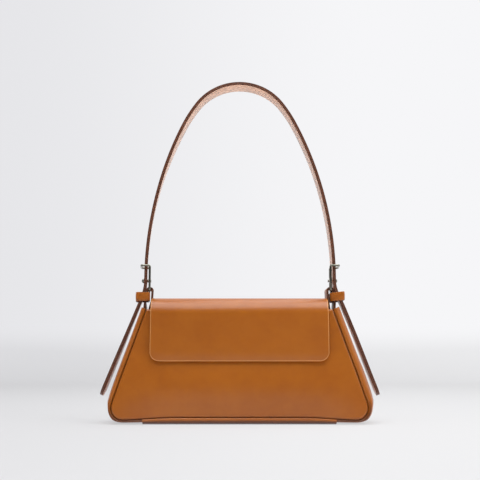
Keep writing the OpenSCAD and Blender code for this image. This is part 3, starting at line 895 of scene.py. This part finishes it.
class BAG_OT_base(bpy.types.Operator):
    """Base piece between the gussets' tucked ends"""

    bl_idname = "bag.base"
    bl_label = "Base"

    def execute(self, context):
        sizes = context.scene.bag_sizes
        half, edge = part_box("base_panel")[1].x, sizes.base_depth / 2
        roll, width, drop = sizes.seam_roll, mm(7), sizes.seam_lift

        def bend(degrees, y, z, out, up):
            angles = [math.radians(d) for d in degrees]
            return [(y + out * math.cos(a), z + up * math.sin(a)) for a in angles]

        profile = bend((90, 70, 50, 30, 10, 0), edge - roll, drop - roll, roll, roll)
        profile += bend(range(10, 91, 8), edge - width, drop - roll, width, roll - drop)
        line = [(-y, z) for y, z in profile]
        line += [(-y, 0) for y in steps(edge - width, width - edge, 10)[1:-1]]
        line += reversed(profile)
        across = spread(30, (0.02, 0.012, 0.006, 0.002))
        piece = grid("base_leather", across, line, lambda u, at: Vector((u * half, *at)))
        # The bottom is darker towards the floor: its darker edge and painted contact shade where it
        # meets the floor
        mark_seam_and_shade(piece, [max(point.co.z - mm(2.7), 0) * 0.9 for point in piece.data.vertices])
        piece.data.flip_normals()
        settle(piece, sizes)
        thicken(piece, mm(1.4))
        round_edges(piece, mm(0.4), 2, 60)
        shade(piece, 50)
        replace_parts(dress(piece, "body", "body_leather", "tan_leather"), "base_panel")
        return {"FINISHED"}


# Inside


LINING_DEPTH = mm(3.3)
LINING_INSET = mm(1)
FACING_HEIGHT = mm(22)
POCKET_DEPTH = mm(4.15)


def lining_place(body, foot, top, seed):
    """Places a lining on the front wall, with a soft billow of its cloth."""

    def place(u, share):
        s = mix(foot, top, share)
        x = u * body.half_width(s, LINING_INSET)
        billow = noise.noise(Vector((x * 40, s * 40, seed))) * mm(0.35) * (1 - abs(u) ** 4)
        return body.wall_point(x, s, LINING_DEPTH + abs(billow))

    return place


def layer(piece, thickness, rounding, at_back=False):
    """Makes a sheet a thin layer with rounded edges, on the front wall or the back one."""
    if at_back:
        piece.data.transform(TO_BACK)
    thicken(piece, thickness)
    round_edges(piece, rounding)
    return shade(piece)


class BAG_OT_inside(bpy.types.Operator):
    """Facings, lining and slip pocket"""

    bl_idname = "bag.inside"
    bl_label = "Inside"

    def execute(self, context):
        sizes = context.scene.bag_sizes
        body = Body(sizes)
        across = steps(-1, 1, 40)
        for side, lost, seed in (("front", 0, 7.7), ("back", sizes.back_drop, 3.1)):
            top = sizes.panel_length - lost
            seam, at_back = top - FACING_HEIGHT, side == "back"
            place = lining_place(body, mm(1), seam - mm(0.1), seed)
            cloth = grid("lining_" + side + "_twill", across, steps(0, 1, 30), place)
            layer(cloth, mm(0.6), mm(0.18), at_back)
            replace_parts(dress(cloth, "body", "lining_cloth", "lining_twill"), "lining_" + side)
            place = lining_place(body, seam, top - mm(0.2), 1.3)
            band = grid("facing_" + side + "_leather", across, steps(0, 1, 8), place)
            layer(band, mm(1.1), mm(0.33), at_back)
            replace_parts(dress(band, "body", "body_leather", "tan_leather"), "facing_" + side)
        rows = steps(0, 1, 30) + steps(1, 2, 10)[1:] + [2.4, 2.8, 3, 3.15, 3.3, 4]
        for side, swell in (("left", sizes.left_swell), ("right", sizes.right_swell)):
            form = GussetForm(body, swell, mm(4.9), mm(1.75), TUCK_SWELL)
            node = "lining_gusset_" + side
            piece = gusset(node + "_twill", form, mm(0.6), rows, False)
            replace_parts(dress(piece, "body", "lining_cloth", "lining_twill"), node)
        self.floor_lining()
        self.pocket(body, across)
        return {"FINISHED"}

    def floor_lining(self):
        low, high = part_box("lining_base")

        def place(u, v):
            z = high.z - abs(noise.noise(Vector((u * 6, v * 3, 2.2)))) * mm(0.15)
            return Vector((mix(low.x, high.x, (u + 1) / 2), mix(low.y, high.y, (v + 1) / 2), z))

        even = steps(-1, 1, 30)
        piece = layer(grid("lining_floor_twill", even, even, place), mm(0.5), mm(0.2))
        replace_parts(dress(piece, "body", "lining_cloth", "lining_twill"), "lining_base")

    def pocket(self, body, across):
        low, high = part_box("slip_pocket")
        foot, top, corner = body.length_at(low.z), body.length_at(high.z), mm(8)

        def place(u, share):
            s = mix(foot, top, share)
            rise = min(s - foot, corner)
            reach = high.x - corner + math.sqrt(max(corner**2 - (corner - rise) ** 2, 0))
            gape = mm(0.9) * share**3 * (1 - u**2)
            return body.wall_point(u * reach, s, POCKET_DEPTH + gape)

        along = [0, 0.004, 0.015, 0.035, 0.06, 0.09, 0.12] + steps(0.15, 1, 20)
        piece = layer(grid("pocket_twill", across, along, place), mm(0.6), mm(0.2), True)
        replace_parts(dress(piece, "body", "lining_cloth", "lining_twill"), "slip_pocket")


# Flap


class BAG_OT_flap(bpy.types.Operator):
    """Flap: one piece of leather from its front edge over the mouth to the seam on the back"""

    bl_idname = "bag.flap"
    bl_label = "Flap"

    front_r = mm(17)
    rear_r = mm(14)
    skin = mm(1.1)
    under = mm(0.8)
    under_corner = mm(8.5)
    whole = mm(2.9)
    clearance = mm(2.5)
    hinge_z = mm(100.3)
    anchor_top = mm(96)
    stitch_in = mm(2.2)
    stitch_top = mm(93)

    def execute(self, context):
        self.body = Body(context.scene.bag_sizes)
        self.low, self.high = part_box("flap_outer")
        half, foot = self.high.x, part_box("flap_anchor")[0].z
        wall_y = self.body.half_depth(self.body.length_at(self.high.z - self.front_r))
        self.bend_y = -(wall_y + self.clearance + self.whole - self.front_r)
        outer = self.strip("flap_leather", half, self.low, 0)
        self.to_anchor(foot)
        self.soften(outer, self.skin, FLAP_CORNER)
        # Its rim takes the painted highlight of the rounded cut edge
        dress(outer, None, "body_leather", "flap_leather", "burnished_edge")
        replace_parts(outer, "flap_outer", "flap_anchor")
        self.sewn_edge(half - self.stitch_in, foot + self.stitch_in, self.stitch_top)
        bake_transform(outer)
        raised = self.low + mm(0, 0, 0.5)
        inner = self.strip("flap_under", half - mm(0.5), raised, self.whole - self.under)
        leave_edit()
        self.soften(inner, self.under, self.under_corner)
        # Its rim takes the same painted highlight; its face takes the pale under leather, whose paleness
        # is partly painted reflection
        dress(inner, "flap", "lining_leather", "under_leather", "burnished_edge")
        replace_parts(inner, "flap_lining")
        return {"FINISHED"}

    def strip(self, name, half, low, depth):
        """The leather's outer face, or a layer at a depth under it, from the front edge to the back."""
        front_z = self.high.z - self.front_r
        rear_y, rear_z = self.high.y - self.rear_r, self.high.z - self.rear_r
        drop_lean = math.atan((self.bend_y - self.front_r - low.y) / (front_z - low.z))
        face = Vector((0, math.cos(drop_lean), -math.sin(drop_lean)))
        foot = Vector((0, low.y, low.z)) + face * depth
        rise = Vector((0, self.bend_y, front_z)) - face * (self.front_r - depth) - foot
        side = Vector((half, 0, 0))
        piece = start_strip(name, foot - side, foot + side)
        # The first step is long enough for the lower corners' rounding
        first = mm(10.5) / rise.length
        extrude(rise * first)
        extrude_run(rise * (1 - first), 9)
        spin((0, self.bend_y, front_z), (1, 0, 0), -(90 - math.degrees(drop_lean)), 16)
        extrude_run((0, rear_y - self.bend_y, 0), 5)
        spin((0, rear_y, rear_z), (1, 0, 0), -90, 14)
        extrude((0, 0, self.hinge_z - rear_z))
        return piece

    def to_anchor(self, foot):
        """Carries the leather on from the hinge line to its sewn edge."""
        extrude((0, mm(-0.35), mm(-2.3)))
        extrude((0, mm(-0.2), mm(-2)))
        fall = self.anchor_top - foot
        extrude_run((0, math.tan(self.body.slope) * fall, -fall), 4)
        leave_edit()

    def sewn_edge(self, side, foot, top):
        """Stitches that hold the flap to the back wall, round three sides of its sewn edge."""
        lean = self.body.slope
        points = [
            Vector((x, self.high.y - mm(0.55) + math.tan(lean) * (self.anchor_top - z), z))
            for x, z in ((-side, top), (-side, foot), (side, foot), (side, top))
        ]
        outward = Vector((0, math.cos(lean), math.sin(lean)))
        seam = stitches("flap_stitches", points, [outward] * 3, self.body.sizes)
        dress(seam, "body", "body_leather", "waxed_thread")

    def soften(self, piece, thickness, radius):
        """Rounds the lower corners, and gives the sheet its thickness with soft edges."""
        pick(piece, "VERT", lambda point: point.co.z < self.low.z + mm(1.5) and point.co.y < 0)
        bpy.ops.mesh.bevel(
            offset=radius, offset_type="OFFSET", segments=10, affect="VERTICES", clamp_overlap=False
        )
        leave_edit()
        thicken(piece, thickness, -1, 1)
        round_edges(piece, thickness * 0.42, 3)
        shade(piece, 35)


# Strap


class BAG_OT_strap(bpy.types.Operator):
    """Shoulder strap: two layers with painted edges and punched holes"""

    bl_idname = "bag.strap"
    bl_label = "Strap"

    crown_r = mm(53.6)
    crown_turn = 52.3
    shoulder_r = mm(133.6)
    shoulder_turn = 10.5
    tail_turn = 21.8
    tail_bend_r = mm(45)
    tail_length = mm(102)
    hole_r = mm(1.8)
    hole_step = mm(18)

    def execute(self, context):
        sizes = context.scene.bag_sizes
        thickness = sizes.strap_layer
        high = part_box("strap_outer")[1]
        self.half_w = high.y
        self.top = high.z - thickness
        self.leg_x = sizes.mouth_width / 2 + STRAP_OUT
        stud_low, stud_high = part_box("buckle_stud_right")
        self.stud_z = (stud_low.z + stud_high.z) / 2
        outer = self.strip("strap_leather", 1, thickness)
        inner = self.strip("strap_under", -1, thickness)
        dress(outer, "strap", "strap_leather", "strap_leather", "edge_paint")
        # The under layer's pale face is partly painted reflection
        dress(inner, "strap", "lining_leather", "under_leather", "edge_paint")
        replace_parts(outer, "strap_outer")
        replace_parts(inner, "strap_lining")
        return {"FINISHED"}

    def strip(self, name, offset, thickness):
        """One layer, spun along the arch from the top and then mirrored."""
        across = Vector((0, self.half_w, 0))
        top = Vector((0, 0, self.top))
        piece = start_strip(name, top - across, top + across)
        crown_c = Vector((0, 0, self.top - self.crown_r))
        self.turned = 0
        self.reach = top
        self.arc(crown_c, self.crown_turn, 28)
        shoulder_c = self.reach + (crown_c - self.reach).normalized() * self.shoulder_r
        self.arc(shoulder_c, self.shoulder_turn, 10)
        sine = math.sin(math.radians(self.turned))
        leg_r = (self.leg_x - self.reach.x) / (1 - sine)
        leg_c = self.reach + (shoulder_c - self.reach).normalized() * leg_r
        self.arc(leg_c, 90 - self.turned, 30)
        extrude((0, 0, self.stud_z - self.reach.z))
        self.reach = Vector((self.leg_x, 0, self.stud_z))
        tail_c = self.reach + Vector((self.tail_bend_r, 0, 0))
        spin(tail_c, (0, 1, 0), -self.tail_turn, 8)
        turn = math.radians(self.tail_turn)
        extrude_run(Vector((math.sin(turn), 0, -math.cos(turn))) * self.tail_length, 12)
        self.tail_end(piece)
        apply(piece, "MIRROR", use_axis=(True, False, False), merge_threshold=mm(0.01))
        only(piece)
        edit()
        face_outwards()
        top_faces = [p for p in piece.data.polygons if p.center.z > self.top - mm(2)]
        if top_faces[0].normal.z < 0:
            piece.data.flip_normals()
        thicken(piece, thickness, offset, 1)
        self.holes(piece, tail_c, turn)
        round_edges(piece, mm(0.35), 2)
        turn_legs(piece)
        return shade(piece, 35)

    def arc(self, centre, degrees, count):
        spin(centre, (0, 1, 0), degrees, count)
        turn = Matrix.Rotation(math.radians(degrees), 3, "Y")
        self.reach = centre + turn @ (self.reach - centre)
        self.turned += degrees

    def tail_end(self, piece):
        """Rounds the tip of the tail."""
        leave_edit()
        tip = min(point.co.z for point in piece.data.vertices)
        pick(piece, "VERT", lambda point: point.co.z < tip + mm(0.2))
        bpy.ops.mesh.bevel(
            offset=self.half_w * 0.96, segments=12, affect="VERTICES", clamp_overlap=False
        )
        leave_edit()

    def holes(self, piece, tail_c, turn):
        """Punches the row of holes through both sides of the strap."""
        cutters = []
        start = tail_c - Vector((math.cos(turn), 0, math.sin(turn))) * self.tail_bend_r
        bend, on = self.tail_bend_r * turn, self.hole_step
        way = Vector((math.sin(turn), 0, -math.cos(turn)))
        places = [(start + way * (on * i - bend), self.tail_turn) for i in (1, 2, 3)]
        places += [(Vector((self.leg_x, 0, self.stud_z + on * i)), 0) for i in (0, 1)]
        for place, lean in places:
            for side in (1, -1):
                deselect()
                bpy.ops.mesh.primitive_cylinder_add(
                    vertices=24, radius=self.hole_r, depth=mm(8),
                    location=(side * place.x, 0, place.z),
                    rotation=(0, side * math.radians(90 - lean), 0),
                )
                cutters.append(bpy.context.object)
        cutter = join("hole_cutter", cutters)
        only(cutter)
        bpy.ops.object.transform_apply()
        apply(piece, "BOOLEAN", object=cutter, operation="DIFFERENCE", solver="EXACT")
        bpy.data.objects.remove(cutter)


# How the strap's legs stand turned in use: the left one edge-on to the viewer, the right tail and
# the right buckle a little
LEFT_TURN = 0.109
RIGHT_TURN = 0.05
RIGHT_FRAME_TURN = 0.08
# How far the right tail stands out below its stud, and at its tip
RIGHT_OUT = mm(2.2)
RIGHT_TIP_OUT = mm(0.9)
# Between which heights these come and go
LEFT_TOP = mm(200), mm(310)
LEFT_TAIL = mm(40), mm(115)
RIGHT_TOP = mm(112), mm(136)
RIGHT_TAIL = mm(25), mm(95)
# How much of the left turn the tail's tip keeps, and the run in which a piece's foot takes it up
LEFT_TIP_SHARE = 0.3
FOOT_RUN = mm(12)


def climb(z, low, high):
    """0 below the low height and 1 above the high one, with a smooth step."""
    return smooth((z - low) / (high - low))


def turn_legs(piece, lowest=0.0):
    """Turns what lies on the left leg, and both tails, about the strap's middle line."""
    for point in piece.data.vertices:
        x, y, z = point.co
        if x < 0:
            share = (1 - climb(z, *LEFT_TOP)) * mix(LEFT_TIP_SHARE, 1, climb(z, *LEFT_TAIL))
            point.co.x -= y * LEFT_TURN * share * climb(z, lowest, lowest + FOOT_RUN)
        elif lowest == 0:
            out = mix(RIGHT_TIP_OUT, RIGHT_OUT, climb(z, *RIGHT_TAIL))
            point.co.x += (y * RIGHT_TURN + out) * (1 - climb(z, *RIGHT_TOP))
    return piece


# Tabs and keepers


class BAG_OT_tabs(bpy.types.Operator):
    """Tabs folded over the buckles' lower bars"""

    bl_idname = "bag.tabs"
    bl_label = "Tabs"

    rod_r = mm(1.1)
    thickness = mm(2.2)
    gap = mm(0.2)
    fold_gap = mm(0.6)
    # The room for the gusset between the legs, and how far over its rim they are narrowest
    grip_room = mm(2.5)
    waist_rise = mm(7)
    # Between which heights a tab bends with the strap, and from where the left one is turned
    bend_from = mm(106)
    bend_to = mm(117)
    turned_from = mm(108)

    def execute(self, context):
        low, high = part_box("tab_right")
        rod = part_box("buckle_frame_right")[0]
        body = Body(context.scene.bag_sizes)
        form = GussetForm(body, body.sizes.right_swell, mm(0.1), 0)
        fold_r = self.rod_r + self.fold_gap + self.thickness / 2
        centre = Vector((rod.x + self.rod_r - mm(0.3), 0, rod.z + self.rod_r - mm(0.4)))
        foot, top = low.z, form.grip_top.z
        waist = top + self.waist_rise
        outside = self.thickness / 2 + self.gap
        inside = -(self.grip_room + outside)

        def grip(z, out):
            return Vector((form.grip_top.x + GRIP_LEAN * (top - z) + out, 0, z))

        def arc_point(degrees):
            angle = math.radians(degrees)
            return centre + Vector((math.cos(angle), 0, math.sin(angle))) * fold_r

        outer = [
            grip(foot, outside), grip(top, outside),
            Vector((centre.x + fold_r + mm(1.6), 0, waist)), arc_point(-15),
        ]
        inner = [
            arc_point(195), Vector((centre.x - fold_r + mm(0.5), 0, waist)),
            grip(top, inside), grip(foot, inside),
        ]
        across = Vector((0, high.y, 0))
        piece = start_strip("tab_right_leather", outer[0] - across, outer[0] + across)
        self.along(outer)
        spin(centre, (0, 1, 0), -210, 18)
        self.along(inner)
        leave_edit()
        apply(piece, "SUBSURF", levels=2, render_levels=2)
        thicken(piece, self.thickness, 0, 1)
        round_edges(piece, mm(0.4), 3)
        shade(piece, 35)
        left = turn_legs(mirrored_copy(piece, "tab_left_leather"), self.turned_from)
        for tab, node in ((piece, "tab_right"), (left, "tab_left")):
            dress(tab, None, "strap_leather", "strap_leather", "edge_paint")
            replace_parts(tab, node)
            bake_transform(tab)
        return {"FINISHED"}

    def along(self, points):
        """Extrudes the strip through a row of points, in short steps."""
        for start, end in zip(points, points[1:]):
            extrude_run(end - start, max(1, round((end - start).length / mm(2.5))))


class BAG_OT_keepers(bpy.types.Operator):
    """Keepers round the tabs and the strap's tails"""

    bl_idname = "bag.keepers"
    bl_label = "Keepers"

    thickness = mm(1.5)
    corner = mm(2.7)
    # How far the outer side is drawn in at its rims, the right keeper's tilt, and the widening
    drawn_in = mm(0.25)
    right_tilt = 0.12
    right_wider = 1.1
    left_wider = 1.08

    def execute(self, context):
        low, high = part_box("keeper_right")
        middle = (low + high) / 2
        deselect()
        bpy.ops.mesh.primitive_plane_add(size=1, location=(0, 0, 0))
        piece = named("keeper_right_band")
        for point in piece.data.vertices:
            x, y = (high if point.co[axis] > 0 else low for axis in (0, 1))
            point.co = Vector((x.x, y.y, low.z))
        edit()
        select_mesh()
        bpy.ops.mesh.delete(type="ONLY_FACE")
        select_mesh()
        bpy.ops.mesh.bevel(offset=self.corner, segments=6, affect="VERTICES")
        select_mesh()
        extrude_run((0, 0, high.z - low.z), 4)
        face_outwards()
        outward = [p for p in piece.data.polygons if p.center.x > high.x - mm(0.1)]
        if outward[0].normal.x < 0:
            piece.data.flip_normals()
        for point in piece.data.vertices:
            if point.co.x > middle.x:
                point.co.x -= self.drawn_in * ((point.co.z - middle.z) / (high.z - middle.z)) ** 2
        thicken(piece, self.thickness, -1, 1)
        round_edges(piece, mm(0.45), 3)
        shade(piece, 35)
        left = turn_legs(mirrored_copy(piece, "keeper_left_band"), mm(1))
        for point in left.data.vertices:
            point.co.x = mix(-low.x, point.co.x, self.left_wider)
        for point in piece.data.vertices:
            point.co.z += (point.co.x - middle.x) * self.right_tilt
            point.co.x = mix(low.x, point.co.x, self.right_wider)
        for band, node in ((piece, "keeper_right"), (left, "keeper_left")):
            dress(band, node, "strap_leather", "tan_leather", "edge_paint")
            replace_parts(band, node)
        return {"FINISHED"}


class BAG_OT_buckles(bpy.types.Operator):
    """Buckle frames: one rod each, bent round its corners, with a bar for the stud"""

    bl_idname = "bag.buckles"
    bl_label = "Buckles"

    rod = mm(1.1)
    bend = mm(1.7)
    boss_r = mm(3)

    def execute(self, context):
        low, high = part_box("buckle_frame_right")
        stud_low, stud_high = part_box("buckle_stud_right")
        rod = self.rod
        x, half_w = low.x + rod, high.y - rod
        along_y, along_x = (math.radians(90), 0, 0), (0, math.radians(90), 0)
        bars = [self.bent_rod(x, low.z + rod, high.x - rod, high.z - rod, half_w, along_y)]
        place = (x, 0, (stud_low.z + stud_high.z) / 2)
        for name, radius, reach, turn in (
            ("buckle_frame_bar", rod, 2 * half_w, along_y),
            ("buckle_frame_boss", self.boss_r, 2 * rod, along_x),
        ):
            deselect()
            bpy.ops.mesh.primitive_cylinder_add(
                vertices=28, radius=radius, depth=reach, location=place, rotation=turn
            )
            bpy.ops.object.transform_apply()
            bars.append(round_edges(named(name), mm(0.25), 3))
        frame_right = shade(join("buckle_frame_right_rod", bars), 50)
        frame_left = turn_legs(mirrored_copy(frame_right, "buckle_frame_left_rod"), mm(1))
        for point in frame_right.data.vertices:
            point.co.x += (point.co.y + half_w) * RIGHT_FRAME_TURN
        for piece, node in ((frame_right, "buckle_frame_right"), (frame_left, "buckle_frame_left")):
            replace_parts(dress(piece, "strap", "nickel", "polished_metal"), node)
        return {"FINISHED"}

    def bent_rod(self, x, bar_z, loop_x, loop_z, half_w, turn):
        """The rod's one run: the lower bar, an upright, the loop over the strap, and back down."""
        bend = self.bend
        deselect()
        bpy.ops.mesh.primitive_circle_add(
            vertices=20, radius=self.rod, location=(x, 0, bar_z), rotation=turn
        )
        bpy.ops.object.transform_apply()
        piece = named("buckle_frame_rod")
        edit()
        select_mesh()
        side, up, out = half_w - bend, loop_z - bar_z - 2 * bend, loop_x - x - 2 * bend
        for step, centre, axis, degrees in (
            ((0, side, 0), (x, side, bar_z + bend), (1, 0, 0), 90),
            ((0, 0, up), (x + bend, half_w, loop_z - bend), (0, 1, 0), 90),
            ((out, 0, 0), (loop_x - bend, side, loop_z), (0, 0, 1), -90),
            ((0, -2 * side, 0), (loop_x - bend, -side, loop_z), (0, 0, 1), -90),
            ((-out, 0, 0), (x + bend, -half_w, loop_z - bend), (0, 1, 0), -90),
            ((0, 0, -up), (x, -side, bar_z + bend), (1, 0, 0), 90),
        ):
            extrude(step)
            spin(centre, axis, degrees, 8)
        extrude((0, side, 0))
        select_mesh()
        bpy.ops.mesh.remove_doubles(threshold=mm(0.02))
        face_outwards()
        return piece


class BAG_OT_fittings(bpy.types.Operator):
    """Finishes of the pieces that keep their CAD form: metal, boards and magnets"""

    bl_idname = "bag.fittings"
    bl_label = "Fittings"

    def execute(self, context):
        kept = {
            "polished_metal": ("buckle_stud_left", "buckle_stud_right"),
            "fibre_board": ("front_board", "back_board", "base_board", "flap_board"),
            "magnet_steel": ("magnet_front", "magnet_flap"),
        }
        for finish_name, nodes in kept.items():
            for node in nodes:
                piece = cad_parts[node]
                piece.data.materials.clear()
                piece.data.materials.append(finish_of(finish_name))
                for polygon in piece.data.polygons:
                    polygon.material_index = 0
        return {"FINISHED"}


# Stage


class BAG_OT_stage(bpy.types.Operator):
    """Pale floor and backdrop, soft lights and the camera"""

    bl_idname = "bag.stage"
    bl_label = "Stage"

    def execute(self, context):
        self.backdrop()
        self.lights()
        self.camera(context)
        context.scene.view_settings.view_transform = "Standard"
        return {"FINISHED"}

    def backdrop(self):
        """A floor that turns up into a wall in one sweep."""
        reach, depth, sweep, wall_height = 9, 10.32, 0.8, 2.6
        side, front = Vector((reach, 0, 0)), Vector((0, -reach, 0))
        piece = start_strip("backdrop", front - side, front + side)
        extrude_run((0, depth, 0), 3)
        spin((0, front.y + depth, sweep), (1, 0, 0), 90, 24)
        extrude((0, 0, wall_height))
        leave_edit()
        only(piece)
        bpy.ops.object.shade_smooth()
        piece.data.materials.append(self.paper(bpy.context.scene.bag_colours))

    def paper(self, colours):
        """Seamless paper: it takes soft shadows, and the camera sees it pale, with painted shade that
        darkens it to the left.
        """
        finish = Finish("paper")
        x, y, up = finish.axes()
        across = finish.made("DIVIDE", x, finish.made("MAXIMUM", y + 0.85, 0.6)).between(-0.32, 0.18)
        far = ((x * x + y * y) ** 0.5).between(1.1, 2.4)
        # Painted shade: the glow is darker to the left
        glow = finish.blend(across, colours.paper_left, colours.paper_right)
        seen = sum(finish.rays())
        base = finish.blend(seen, [0.86, 0.85, 0.84], [0.58, 0.58, 0.585])
        base = finish.blend(finish.noise(300, 2, 0.5) * 0.1, base, [0.5, 0.5, 0.5])
        lit = finish.node("ShaderNodeBsdfPrincipled", None, {
            "Base Color": base, "Roughness": 0.9, "Specular IOR Level": 0.1,
        })
        pale = finish.node("ShaderNodeEmission", None, {"Color": glow})
        share = 0.62 + finish.made("MAXIMUM", up.between(0.0, 0.16), far) * 0.38
        finish.end_in(finish.node("ShaderNodeMixShader", None, {"Fac": seen * share, 1: lit, 2: pale}))
        return finish.material

    def lights(self):
        """Soft lights, and a world that is dim as a light and pale to the camera and to mirrors."""
        world = bpy.data.worlds.new("studio")
        bpy.context.scene.world = world
        air = Finish("studio", world)
        camera, glossy, through = air.rays()
        seen = camera + (glossy + through) * air.axes("Generated")[1].between(-0.2, 0.5)
        dim, pale = (
            air.node("ShaderNodeBackground", None, {"Color": (1, 1, 1, 1), "Strength": strength})
            for strength in (0.1, 0.86)
        )
        air.end_in(air.node("ShaderNodeMixShader", None, {"Fac": seen, 1: dim, 2: pale}))
        self.softbox("top_light", (0.1, -0.2, 1.4), (0, 0, 0.1), 2.0, 1.5, 34)
        self.softbox("right_light", (1.3, -0.8, 1.1), (0, 0, 0.1), 0.8, 1.2, 7)
        self.softbox("left_light", (-1.3, -0.8, 1.2), (0, 0, 0.1), 0.8, 1.0, 1.2)

    def softbox(self, name, place, aim, width, height, power):
        light = bpy.data.lights.new(name, "AREA")
        light.shape, light.size, light.size_y, light.energy = "RECTANGLE", width, height, power
        lamp = bpy.data.objects.new(name, light)
        bpy.context.scene.collection.objects.link(lamp)
        lamp.location = place
        lamp.rotation_euler = (Vector(aim) - Vector(place)).to_track_quat("-Z", "Y").to_euler()

    def camera(self, context):
        """The photograph's camera: low, close to level and fitted to the bag's outline."""
        lens = bpy.data.cameras.new("camera")
        lens.sensor_width, lens.lens = 36, 64.425
        lens.clip_start, lens.clip_end = 0.01, 50
        eye = bpy.data.objects.new("camera", lens)
        context.scene.collection.objects.link(eye)
        eye.location = mm(0.5, -850, 62)
        eye.rotation_euler = (math.radians(90 + 7.81), 0, 0)
        context.scene.camera = eye


class BAG_PT_panel(bpy.types.Panel):
    """The bag's pieces, sizes and colours"""

    bl_idname = "BAG_PT_panel"
    bl_label = "Baguette bag"
    bl_space_type = "VIEW_3D"
    bl_region_type = "UI"
    bl_category = "Baguette bag"

    def draw(self, context):
        for operator in OPERATORS:
            self.layout.operator(operator.bl_idname)
        for group in (context.scene.bag_sizes, context.scene.bag_colours):
            box = self.layout.box()
            for key in group.__annotations__:
                box.prop(group, key)


OPERATORS = (
    BAG_OT_stage, BAG_OT_walls, BAG_OT_gussets, BAG_OT_base, BAG_OT_inside, BAG_OT_flap,
    BAG_OT_strap, BAG_OT_tabs, BAG_OT_keepers, BAG_OT_buckles, BAG_OT_fittings,
)
CLASSES = (BagSizes, BagColours, *OPERATORS, BAG_PT_panel)


def register():
    for each in CLASSES:
        bpy.utils.register_class(each)
    bpy.types.Scene.bag_sizes = PointerProperty(type=BagSizes)
    bpy.types.Scene.bag_colours = PointerProperty(type=BagColours)


def unregister():
    del bpy.types.Scene.bag_colours
    del bpy.types.Scene.bag_sizes
    for each in reversed(CLASSES):
        bpy.utils.unregister_class(each)


def main():
    register()
    bpy.ops.bag.stage()
    bpy.ops.bag.walls()
    bpy.ops.bag.gussets()
    bpy.ops.bag.base()
    bpy.ops.bag.inside()
    bpy.ops.bag.flap()
    bpy.ops.bag.strap()
    bpy.ops.bag.tabs()
    bpy.ops.bag.keepers()
    bpy.ops.bag.buckles()
    bpy.ops.bag.fittings()


if __name__ == "__main__":
    main()
